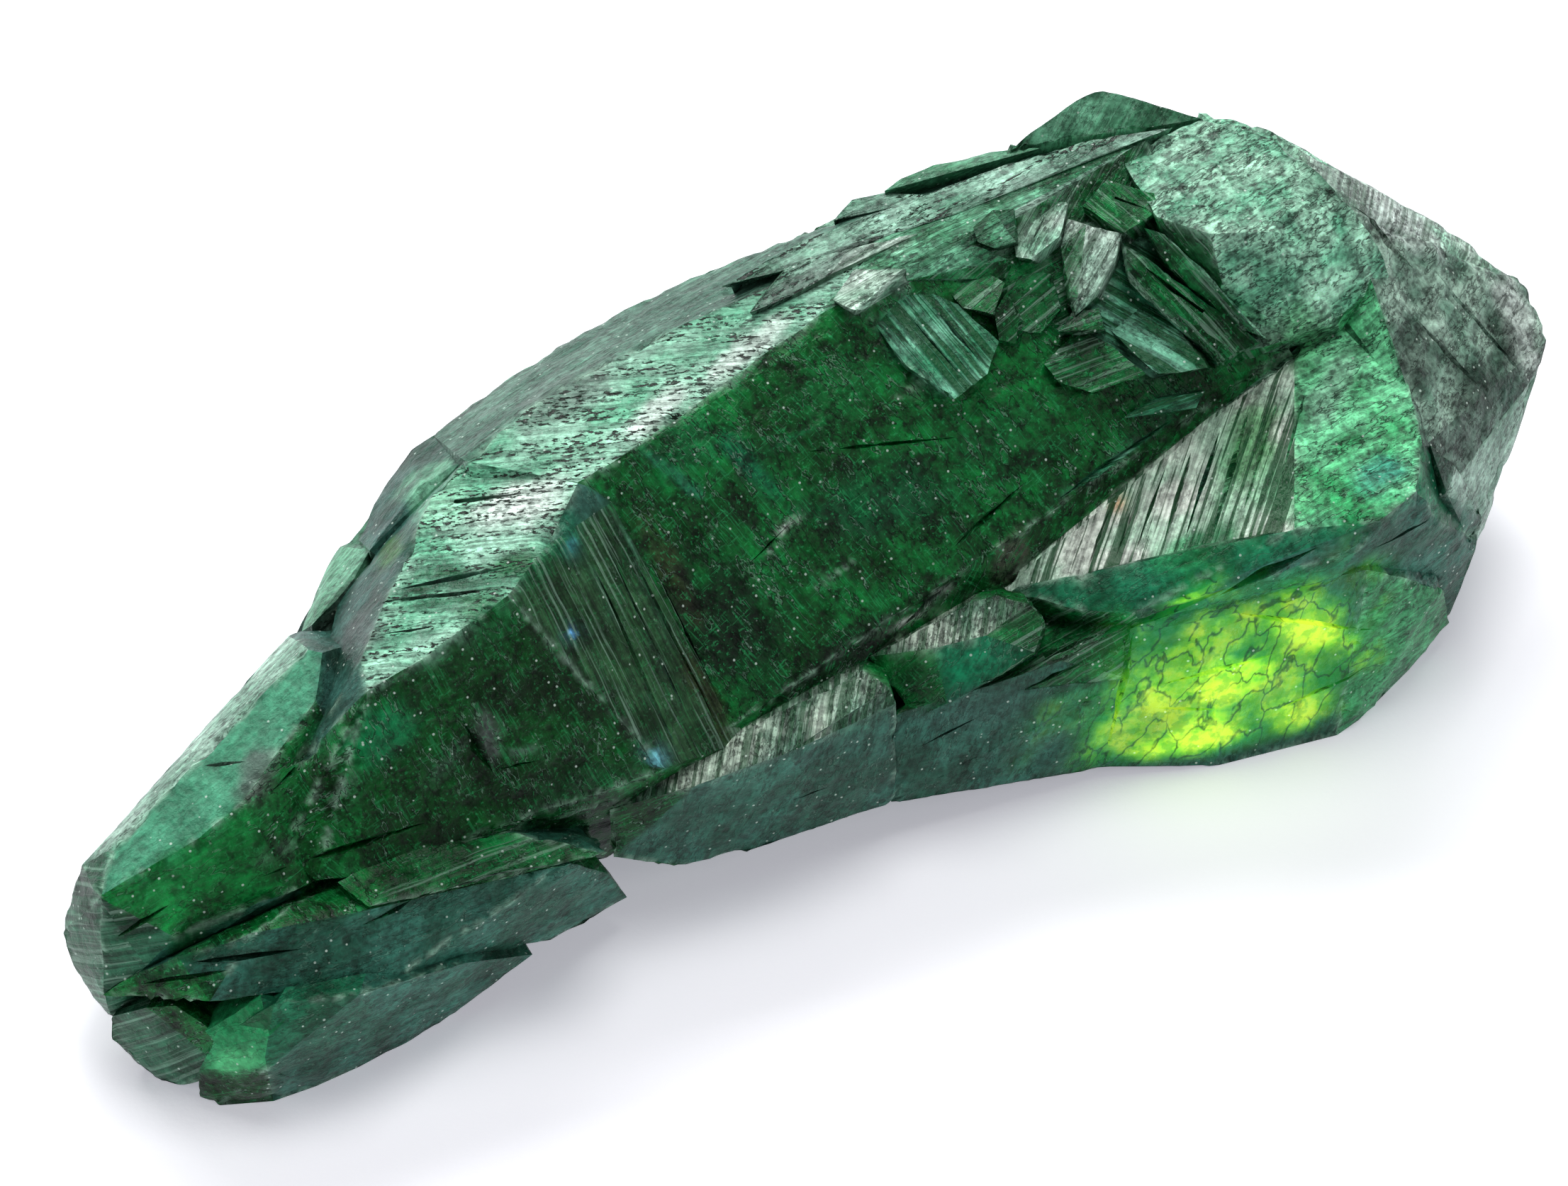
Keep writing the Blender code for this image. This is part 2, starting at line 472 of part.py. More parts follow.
# Splinters broken out of the faces: two ends on the drawing, width and depth halfway.
SPLINTERS = [
    # steps across the shoulder's top
    ((-18.4, 0.15), (-12.3, 1.35), 0.55, 0.35),
    ((-18.9, -0.5), (-13.0, 0.3), 0.45, 0.3),
    ((-19.3, -2.0), (-15.9, -1.5), 0.3, 0.2),
    ((-17.2, 3.9), (-12.0, 4.7), 0.25, 0.15),
    # lines down the flank under the shoulder
    ((-9.6, 2.6), (-4.9, -7.6), 0.35, 0.25),
    ((-8.6, 2.8), (-4.6, -5.6), 0.3, 0.2),
    ((-7.9, 3.4), (-3.0, -6.6), 0.4, 0.25),
    ((-6.6, 2.2), (-2.6, -6.0), 0.3, 0.2),
    # growth lines on the right-hand slab
    ((14.2, 1.0), (15.5, 4.4), 0.3, 0.2),
    ((15.5, 1.4), (16.9, 5.4), 0.4, 0.25),
    ((16.5, 1.9), (18.1, 6.3), 0.35, 0.25),
    ((17.8, 2.1), (19.2, 6.9), 0.45, 0.25),
    ((18.8, 2.4), (20.6, 8.0), 0.35, 0.25),
    ((20.1, 2.6), (21.9, 8.8), 0.5, 0.3),
    ((21.4, 3.2), (23.3, 9.4), 0.4, 0.25),
    ((23.0, 4.0), (24.6, 9.8), 0.35, 0.25),
    # lines on the steps
    ((5.4, 13.6), (8.6, 9.9), 0.25, 0.2),
    ((6.7, 13.8), (9.4, 10.7), 0.3, 0.2),
    ((16.6, 15.6), (21.8, 11.4), 0.25, 0.2),
    ((14.6, 18.8), (17.2, 18.0), 0.2, 0.15),
    ((11.4, 16.0), (12.6, 18.4), 0.25, 0.15),
    # scars on the front face
    ((-2.0, 1.0), (0.6, 3.6), 0.3, 0.2),
    ((5.2, -1.9), (8.0, 0.6), 0.45, 0.35),
    ((0.6, 6.6), (9.0, 7.4), 0.35, 0.3),
    ((7.8, 2.0), (11.6, 5.4), 0.5, 0.3),
    ((12.6, 4.2), (18.6, 8.4), 0.5, 0.35),
    ((-15.2, -5.8), (-13.6, -8.6), 1.0, 0.4),
    ((-14.0, -8.4), (-11.2, -7.8), 0.35, 0.2),
    ((-22.0, -7.4), (-24.4, -9.6), 0.5, 0.3),
    # cracks round the foot at the right
    ((15.6, -1.9), (21.0, 0.3), 0.6, 0.6),
    ((20.2, -0.2), (25.2, 2.2), 0.8, 0.8),
    ((16.4, -1.8), (15.2, -7.4), 0.5, 0.45),
    ((17.3, -4.4), (23.4, -2.8), 0.4, 0.3),
    ((21.2, -0.9), (27.8, -1.7), 0.4, 0.3),
    ((17.2, -5.4), (20.4, -5.5), 0.35, 0.3),
    ((23.0, -5.6), (27.4, -3.4), 0.4, 0.2),
    ((9.2, -4.2), (15.4, -1.7), 0.7, 0.5),
    ((11.2, -4.6), (14.2, -3.2), 0.4, 0.3),
    # cracks along the lower band and the snout
    ((6.0, -7.4), (9.6, -5.6), 0.3, 0.2),
    ((0.2, -9.8), (2.4, -9.0), 0.25, 0.2),
    ((-30.4, -18.4), (-26.0, -17.7), 0.35, 0.25),
    ((-20.0, -15.7), (-16.4, -14.0), 0.45, 0.3),
    ((-24.8, -13.4), (-16.6, -10.7), 0.6, 0.45),
    ((-28.0, -17.4), (-22.0, -16.6), 0.3, 0.2),
    ((-31.4, -16.2), (-28.8, -14.6), 0.5, 0.3),
    ((-27.4, -8.1), (-25.2, -7.9), 0.3, 0.2),
    # breaks in the blunt end
    ((29.4, 13.2), (32.8, 9.6), 0.5, 0.35),
    ((30.2, 15.6), (34.6, 10.4), 0.4, 0.3),
    ((26.8, 18.2), (29.8, 15.0), 0.6, 0.35),
    ((27.6, 2.0), (30.6, 3.6), 0.4, 0.3),
]

# The same on the sides that the drawing doesn't show, with the ends as (x, y, height).
SPLINTERS_BEHIND = [
    ((-11.0, 3.0, 5.0), (1.0, 10.0, 7.0), 0.5, 0.35),
    ((-9.0, 4.0, 8.6), (-2.0, 8.0, 9.0), 0.35, 0.25),
    ((-10.0, 3.4, 10.6), (1.0, 9.6, 11.8), 0.4, 0.3),
    ((-6.0, 2.0, 1.6), (-1.0, 5.0, 2.0), 0.5, 0.3),
    ((6.6, 13.0, 6.0), (15.0, 17.0, 6.4), 0.4, 0.3),
    ((7.0, 13.4, 9.0), (13.6, 17.0, 10.8), 0.5, 0.35),
    ((9.0, 13.0, 13.2), (15.6, 16.0, 13.6), 0.4, 0.25),
    ((8.4, 11.0, 3.0), (12.0, 14.0, 4.0), 0.5, 0.3),
    ((19.0, 17.0, 7.0), (22.0, 16.4, 13.0), 0.4, 0.3),
    ((22.4, 16.4, 5.4), (24.8, 15.6, 12.4), 0.4, 0.3),
    ((25.6, 15.2, 6.4), (27.4, 14.4, 11.4), 0.35, 0.25),
    ((30.0, 12.0, 8.0), (33.6, 8.0, 7.0), 0.5, 0.35),
    ((29.0, 12.6, 11.0), (33.4, 9.6, 9.6), 0.4, 0.3),
    ((-30.4, -25.0, 5.0), (-26.0, -18.6, 6.0), 0.4, 0.3),
    ((-29.6, -24.4, 8.0), (-25.4, -18.0, 8.8), 0.3, 0.2),
    ((-20.4, -9.8, 8.0), (-16.6, -3.6, 9.6), 0.5, 0.35),
    ((-20.0, -8.6, 4.0), (-15.6, -2.0, 5.0), 0.4, 0.3),
    ((-8.0, -4.0, 0.0), (8.0, -2.0, 0.0), 0.7, 0.4),
    ((12.0, 0.0, 0.0), (24.0, 3.0, 0.0), 0.6, 0.4),
    ((-4.0, -10.0, 0.4), (6.0, -6.0, 0.4), 0.5, 0.3),
]


def eye_point():
    """The drawing's eye, in millimetres."""
    return EYE_DISTANCE * Vector((0.0, -math.cos(DRAWING_TILT), math.sin(DRAWING_TILT)))


def from_drawing(right, up, level):
    """The point, at a height or on a face, that the drawing shows this far right and up."""
    height, rise_right, rise_back = level if isinstance(level, tuple) else (level, 0.0, 0.0)
    eye = eye_point()
    mark = Vector((right, up * math.sin(DRAWING_TILT), up * math.cos(DRAWING_TILT)))
    sight = mark - eye
    gap = height + rise_right * eye.x + rise_back * eye.y - eye.z
    return eye + sight * (gap / (sight.z - rise_right * sight.x - rise_back * sight.y))


def settle():
    """The matrix from the drawing's table, in millimetres, to the part's own frame."""
    turn = Matrix.Rotation(LENGTH_TURN, 4, "Z")
    return Matrix.Scale(MM, 4) @ turn @ Matrix.Translation(-ORIGIN)


def clear_scene():
    for obj in list(bpy.data.objects):
        bpy.data.objects.remove(obj)


def lump_points(seen, hidden):
    return [from_drawing(*corner) for corner in seen] + [Vector(corner) for corner in hidden]


def hull_mesh(name, points):
    """A mesh of the convex hull of these points."""
    bm = bmesh.new()
    for point in points:
        bm.verts.new(point)
    bmesh.ops.convex_hull(bm, input=bm.verts)
    inside = [vert for vert in bm.verts if not vert.link_faces]
    bmesh.ops.delete(bm, geom=inside, context="VERTS")
    bmesh.ops.recalc_face_normals(bm, faces=bm.faces)
    mesh = bpy.data.meshes.new(name)
    bm.to_mesh(mesh)
    bm.free()
    return mesh


def add_object(name, mesh, helper=False):
    obj = bpy.data.objects.new(name, mesh)
    bpy.context.scene.collection.objects.link(obj)
    if helper:
        obj.hide_render = True
        obj.display_type = "WIRE"
    return obj


def boolean(body, helper, operation):
    """Joins a helper to the body, or takes it away, and applies that."""
    step = body.modifiers.new(helper.name, "BOOLEAN")
    step.operation = operation
    step.solver = "EXACT"
    step.object = helper
    graph = bpy.context.evaluated_depsgraph_get()
    mesh = bpy.data.meshes.new_from_object(body.evaluated_get(graph))
    body.modifiers.clear()
    body.data = mesh
    bpy.data.objects.remove(helper)


def seen_point(surface, right, up):
    """Where the drawing's sight line meets the body, and the way that face faces."""
    eye = eye_point()
    return surface.ray_cast(eye, (from_drawing(right, up, 0.0) - eye).normalized())[:2]


def splinter_points(first, last, centre, width, depth):
    """The corners of a splinter that tapers off to both ends.

    The ends and the middle are each a point on the body with the way its face faces.
    """
    (first, out_first), (last, out_last), (centre, out) = first, last, centre
    side = (last - first).cross(out).normalized() * width / 2
    tips = [first + out_first * 0.03, last + out_last * 0.03]
    tips += [first + out_first * 0.2, last + out_last * 0.2]
    lips = [centre + out * 0.2 + side, centre + out * 0.2 - side]
    return tips + lips + [centre - out * depth]


def halfway(start, end):
    return [(a + b) / 2 for a, b in zip(start, end)]


def cut_splinters(body):
    surface = BVHTree.FromObject(body, bpy.context.evaluated_depsgraph_get())
    splinters = []
    for start, end, width, depth in SPLINTERS:
        marks = (start, end, halfway(start, end))
        places = [seen_point(surface, *mark) for mark in marks]
        splinters.append(splinter_points(*places, width, depth))
    for start, end, width, depth in SPLINTERS_BEHIND:
        marks = (start, end, halfway(start, end))
        places = [surface.find_nearest(Vector(mark))[:2] for mark in marks]
        splinters.append(splinter_points(*places, width, depth))
    for points in splinters:
        cutter = add_object("splinter", hull_mesh("splinter", points), True)
        boolean(body, cutter, "DIFFERENCE")


def cut_base(body):
    """Takes off what is under the table."""
    corners = [(x, y, z) for x in (-60, 60) for y in (-60, 60) for z in (-5.0, BASE_CUT)]
    base = hull_mesh("below_table", [Vector(corner) for corner in corners])
    boolean(body, add_object("below_table", base, True), "DIFFERENCE")


def emerald():
    """A deep green, glassy finish."""
    material = bpy.data.materials.new("emerald")
    material.use_nodes = True
    shader = material.node_tree.nodes["Principled BSDF"]
    shader.inputs["Base Color"].default_value = EMERALD_GREEN
    shader.inputs["Roughness"].default_value = EMERALD_ROUGHNESS
    shader.inputs["IOR"].default_value = EMERALD_IOR
    return material


def shell_of(seed):
    """All the faces that hang together with this one along their edges."""
    shell = {seed}
    front = [seed]
    while front:
        face = front.pop()
        beside = {other for edge in face.edges for other in edge.link_faces} - shell
        shell |= beside
        front += beside
    return shell


def fill_hollows(mesh):
    """Fills small hollows that were closed in between lumps."""
    bm = bmesh.new()
    bm.from_mesh(mesh)
    outer = shell_of(min(bm.faces, key=lambda face: face.calc_center_median().x))
    hollows = [face for face in bm.faces if face not in outer]
    bmesh.ops.delete(bm, geom=hollows, context="FACES")
    bm.to_mesh(mesh)
    bm.free()


def main():
    clear_scene()
    names = list(LUMPS)
    body = add_object("emerald_crystal", hull_mesh(names[0], lump_points(*LUMPS[names[0]])))
    for name in names[1:]:
        lump = hull_mesh(name, lump_points(*LUMPS[name]))
        boolean(body, add_object(name, lump, True), "UNION")
    cut_base(body)
    cut_splinters(body)
    fill_hollows(body.data)
    body.data.transform(settle())
    body.data.materials.clear()
    body.data.materials.append(emerald())


main()
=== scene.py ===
"""Dresses a raw emerald crystal and lays it on white paper under soft studio light.

The crystal's solid comes with the frame. Its facets are sorted into growth and break
faces, refined, roughened along their growth lines and marked face by face: silvery
striated faces whose sheen is partly painted reflection, deep green ones, grey frosted
ones, and the thin foot whose passing light is painted on as a glow.
"""

import logging
import math
from collections.abc import Sequence
from dataclasses import dataclass, field
from enum import Enum

import bmesh
import bpy
import numpy as np
from bmesh.types import BMEdge, BMesh, BMFace
from mathutils import Matrix, Vector
from mathutils.bvhtree import BVHTree
from mathutils.kdtree import KDTree


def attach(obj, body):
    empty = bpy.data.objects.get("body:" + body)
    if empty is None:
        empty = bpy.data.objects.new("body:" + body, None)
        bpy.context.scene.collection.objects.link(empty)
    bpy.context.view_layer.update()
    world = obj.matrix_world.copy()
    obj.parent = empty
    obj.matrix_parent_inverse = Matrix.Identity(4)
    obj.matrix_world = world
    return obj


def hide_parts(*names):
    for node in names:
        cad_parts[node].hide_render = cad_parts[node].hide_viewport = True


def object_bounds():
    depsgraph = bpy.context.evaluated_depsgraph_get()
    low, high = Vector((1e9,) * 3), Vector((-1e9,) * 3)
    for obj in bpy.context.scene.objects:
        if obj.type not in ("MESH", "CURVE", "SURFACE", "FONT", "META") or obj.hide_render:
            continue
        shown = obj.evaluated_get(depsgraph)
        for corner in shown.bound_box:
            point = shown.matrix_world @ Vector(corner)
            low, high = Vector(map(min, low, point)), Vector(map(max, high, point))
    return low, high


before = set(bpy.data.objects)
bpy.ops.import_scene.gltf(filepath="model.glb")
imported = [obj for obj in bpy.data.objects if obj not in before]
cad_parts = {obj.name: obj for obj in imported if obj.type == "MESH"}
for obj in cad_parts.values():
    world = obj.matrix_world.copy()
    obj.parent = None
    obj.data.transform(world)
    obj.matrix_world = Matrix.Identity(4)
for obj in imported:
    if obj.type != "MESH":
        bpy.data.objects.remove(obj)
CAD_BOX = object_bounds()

LOG = logging.getLogger("emerald")
MM = 0.001

Array = np.ndarray
Triple = tuple[float, float, float]
Socket = bpy.types.NodeSocket
Sockets = dict[str, Socket]


def linked(name: str, data: bpy.types.ID) -> bpy.types.Object:
    """Returns a new object in the scene that shows a mesh, a light or a camera."""
    shown = bpy.data.objects.new(name, data)
    bpy.context.scene.collection.objects.link(shown)
    return shown


def linear(hex_colour: str) -> tuple[float, float, float, float]:
    """Turns an sRGB hex colour, such as "#1A5C38", into linear red, green, blue and alpha."""
    parts = [int(hex_colour[i:i + 2], 16) / 255 for i in (1, 3, 5)]
    light = [c / 12.92 if c <= 0.04045 else ((c + 0.055) / 1.055) ** 2.4 for c in parts]
    return (*light, 1.0)


@dataclass(frozen=True)
class Drawing:
    """The drawing on which the faces are named: the crystal seen from its front and above.

    A point on it is given in millimetres right of and up from its centre. The origin is
    the place of the part's own origin on the drawing's table.
    """

    tilt: float = math.radians(45.0)
    eye_mm: float = 320.0
    turn: float = math.radians(-25.0)
    origin_mm: Triple = (-0.11, -6.015, 0.02)

    def to_part(self) -> Matrix:
        """Returns the matrix from the drawing's table, in millimetres, to the part."""
        turn = Matrix.Rotation(self.turn, 4, "Z")
        return Matrix.Scale(MM, 4) @ turn @ Matrix.Translation(-Vector(self.origin_mm))

    def direction(self, x: float, y: float, z: float) -> Vector:
        """Returns a table direction, turned into the part's axes, at unit length."""
        return (Matrix.Rotation(self.turn, 3, "Z") @ Vector((x, y, z))).normalized()

    def eye(self) -> Vector:
        """Returns the eye's place in the part's frame."""
        back, rise = -math.cos(self.tilt), math.sin(self.tilt)
        return self.to_part() @ (Vector((0.0, back, rise)) * self.eye_mm)

    def ahead(self) -> Vector:
        """Returns the direction in which the eye looks."""
        return self.direction(0.0, math.cos(self.tilt), -math.sin(self.tilt))

    def rightward(self) -> Vector:
        """Returns the drawing's own direction to the right."""
        return self.direction(1.0, 0.0, 0.0)

    def upward(self) -> Vector:
        """Returns the drawing's own direction up."""
        return self.direction(0.0, math.sin(self.tilt), math.cos(self.tilt))

    def sight(self, right: float, up: float) -> Vector:
        """Returns the direction from the eye through a point of the drawing."""
        across = self.rightward() * right + self.upward() * up
        return (self.ahead() * self.eye_mm + across).normalized()

    def seen(self, points: Array) -> Array:
        """Returns where points of the part stand on the drawing: rows of right and up."""
        away = points - np.array(self.eye())
        depth = away @ np.array(self.ahead())
        right = away @ np.array(self.rightward()) / depth * self.eye_mm
        return np.stack([right, away @ np.array(self.upward()) / depth * self.eye_mm], 1)

    def facing(self, points: Array, normals: Array) -> Array:
        """Returns how squarely each point faces the eye: 1 is straight at it."""
        toward = np.array(self.eye()) - points
        toward /= np.linalg.norm(toward, axis=1, keepdims=True)
        return (toward * normals).sum(1)


DRAWING = Drawing()


# Odd numbers that stir a cell's place and a seed into one value.
STIR_X, STIR_Y, STIR_Z = 73856093, 19349663, 83492791
STIR_SEED = 2654435761
STIR_BITS = 0x45D9F3B
ALL_BITS = 0xFFFFFFFF
LOW_BITS = 0xFFFF

# Each further layer of rough noise is this much finer, and is shifted this far.
FINER = 2.03
SHIFT = 17.3


def scatter(cell: Array, seed: int) -> Array:
    """Gives each cell, a row of three whole numbers, its own value from 0 to 1."""
    stirred = cell[..., 0] * STIR_X ^ cell[..., 1] * STIR_Y ^ cell[..., 2] * STIR_Z
    stirred = (stirred + seed * STIR_SEED) & ALL_BITS
    for _ in range(2):
        stirred = ((stirred ^ (stirred >> 16)) * STIR_BITS) & ALL_BITS
    return ((stirred ^ (stirred >> 16)) & LOW_BITS) / LOW_BITS


def eased(part: Array) -> Array:
    """Returns values from 0 to 1 with the change slowed at both ends."""
    return part * part * (3 - 2 * part)


def ramp(values: Array, low: float, high: float) -> Array:
    """Returns values eased from 0 at low to 1 at high."""
    return eased(np.clip((values - low) / (high - low), 0.0, 1.0))


def overlay(under: Array, over: Array, share: Array) -> Array:
    """Returns one set of values laid over another, by a share from 0 to 1."""
    return under * (1 - share) + over * share


def soft_noise(points: Array, seed: int) -> Array:
    """Returns smooth noise from 0 to 1 with lumps one unit across."""
    low = np.floor(points).astype(np.int64)
    part = eased(points - low)
    total = np.zeros(len(points))
    for corner in np.ndindex(2, 2, 2):
        step = np.array(corner)
        weight = np.prod(np.where(step == 1, part, 1 - part), axis=1)
        total += weight * scatter(low + step, seed)
    return total


def rough_noise(points: Array, octaves: int, seed: int) -> Array:
    """Returns noise from 0 to 1 with finer and finer lumps laid over each other."""
    total, reach = np.zeros(len(points)), 0.0
    for octave in range(octaves):
        share = 0.5 ** octave
        total += share * soft_noise(points * FINER ** octave + SHIFT * octave, seed + octave)
        reach += share
    return total / reach


def cell_noise(points: Array, seed: int) -> Array:
    """Returns the distance to the nearest of points scattered one to each unit cube."""
    low = np.floor(points).astype(np.int64)
    near = np.full(len(points), np.inf)
    for corner in np.ndindex(3, 3, 3):
        cell = low + np.array(corner) - 1
        spot = cell + np.stack([scatter(cell, seed + axis) for axis in range(3)], 1)
        near = np.minimum(near, np.linalg.norm(spot - points, axis=1))
    return near


@dataclass(frozen=True)
class FaceFinish:
    """What one kind of growth or break face shows: its colours, marks and relief.

    The marks run from 0, none, to 1, full. Lengths are in millimetres.
    """

    colour: str
    shade: str
    mottle: float = 1.6
    roughness: float = 0.4
    fleck: float = 0.0
    stripe: float = 0.0
    speckle: float = 0.0
    line: float = 0.0
    crack: float = 0.0
    pit: float = 0.0
    rib: float = 0.3
    relief: float = 0.05
    grain: float = 1.2
    terrace: float = 0.0
    pitch: float = 0.8


class Face(Enum):
    """The kinds of face on this crystal. The pale silvery kinds, SILVER, BAND, SLIVER, LIP, SLAB,
    KNOB and STEP_WHITE, are partly their own pale growth surface and partly painted reflection of the
    lights.
    """

    SILVER = FaceFinish(
        "#9CD2B8", "#5FA886", fleck=1.0, rib=0.8, terrace=0.06, roughness=0.25, crack=0.25
    )
    BAND = FaceFinish(
        "#93BFAA", "#4F8068", fleck=1.0, rib=0.7, mottle=2.4, terrace=0.08, roughness=0.25, crack=0.5
    )
    BAND_BACK = FaceFinish(
        "#5C8A76", "#3E6A58", fleck=0.5, rib=0.5, line=0.4, relief=0.1, crack=0.4
    )
    PLATE = FaceFinish("#37645A", "#27493D", pit=0.5, rib=0.3, fleck=0.2, relief=0.08, crack=0.3)
    PALE_PLATE = FaceFinish("#74B795", "#44805F", fleck=0.4, rib=0.4, line=0.4, crack=0.3)
    DEEP = FaceFinish("#066A2C", "#033E14", speckle=0.9, rib=0.4, relief=0.12, crack=0.9)
    DARK = FaceFinish("#034818", "#012A0A", speckle=0.6, rib=0.3, relief=0.13, crack=0.8)
    FRESH = FaceFinish("#0A8038", "#065A24", speckle=0.5, rib=0.3, relief=0.08, crack=0.5)
    OLIVE = FaceFinish(
        "#2F5636", "#16371D", speckle=0.4, line=1.0, rib=1.0, terrace=0.1, pitch=0.5, crack=0.35
    )
    TEAL = FaceFinish("#306A5A", "#20503F", pit=0.8, fleck=0.35, relief=0.12, crack=0.4)
    SAGE = FaceFinish(
        "#4A9A78", "#3A8062", pit=0.3, rib=0.2, fleck=0.2, relief=0.06, roughness=0.5, crack=0.15
    )
    GREY = FaceFinish("#5C7468", "#3A564A", pit=0.6, fleck=0.6, rib=0.3, relief=0.14, crack=0.7)
    CAP = FaceFinish("#2E6A4E", "#184830", line=0.8, rib=1.0, terrace=0.1, pitch=0.5, crack=0.3)
    LIP = FaceFinish(
        "#C0D4C2", "#567A66", fleck=0.6, stripe=0.8, rib=1.0, terrace=0.06, roughness=0.25, crack=0.4
    )
    SLAB = FaceFinish(
        "#F4FFF2", "#C4EBD0", fleck=0.35, stripe=1.0, rib=0.8, terrace=0.09, roughness=0.25, crack=0.2
    )
    SLAB_GREEN = FaceFinish("#74D49C", "#2E9C5C", fleck=0.5, rib=0.6, relief=0.15, crack=0.9)
    KNOB = FaceFinish(
        "#A6DEC0", "#68B490", fleck=0.65, rib=0.5, relief=0.17, mottle=1.0, roughness=0.3, crack=0.9
    )
    BLUNT = FaceFinish("#9DBCAA", "#567A68", fleck=0.5, pit=0.3, relief=0.24, crack=0.8)
    SLIVER = FaceFinish("#A9CDBB", "#74A08A", fleck=0.6, rib=0.5, line=0.4, crack=0.4)
    FOOT = FaceFinish("#46A06A", "#2A7A4E", pit=0.4, fleck=0.4, relief=0.15, crack=0.7)
    SHELL = FaceFinish("#22805A", "#12593C", pit=0.3, rib=0.3, fleck=0.3, relief=0.12, crack=0.4)
    BRIGHT_SHELL = FaceFinish("#2C9A60", "#1A7A48", pit=0.2, rib=0.2, relief=0.1, crack=0.3)
    STEP_WHITE = FaceFinish(
        "#D6EFE0", "#84BA9E", fleck=0.6, stripe=0.5, rib=1.0, relief=0.08, crack=0.4
    )
    STEP_PALE = FaceFinish(
        "#74BE98", "#328056", fleck=0.6, stripe=0.6, rib=0.9, relief=0.08, crack=0.5
    )
    STEP_TEAL = FaceFinish(
        "#7AC0A2", "#2C7A56", stripe=1.0, fleck=0.5, rib=1.0, terrace=0.07, crack=0.4
    )
    STEP_DARK = FaceFinish(
        "#0A6A32", "#04401A", speckle=0.8, line=0.9, rib=0.9, relief=0.16, crack=0.6
    )
    UNDER = FaceFinish("#143A28", "#0D281B", pit=0.4, rib=0.2, crack=0.3)


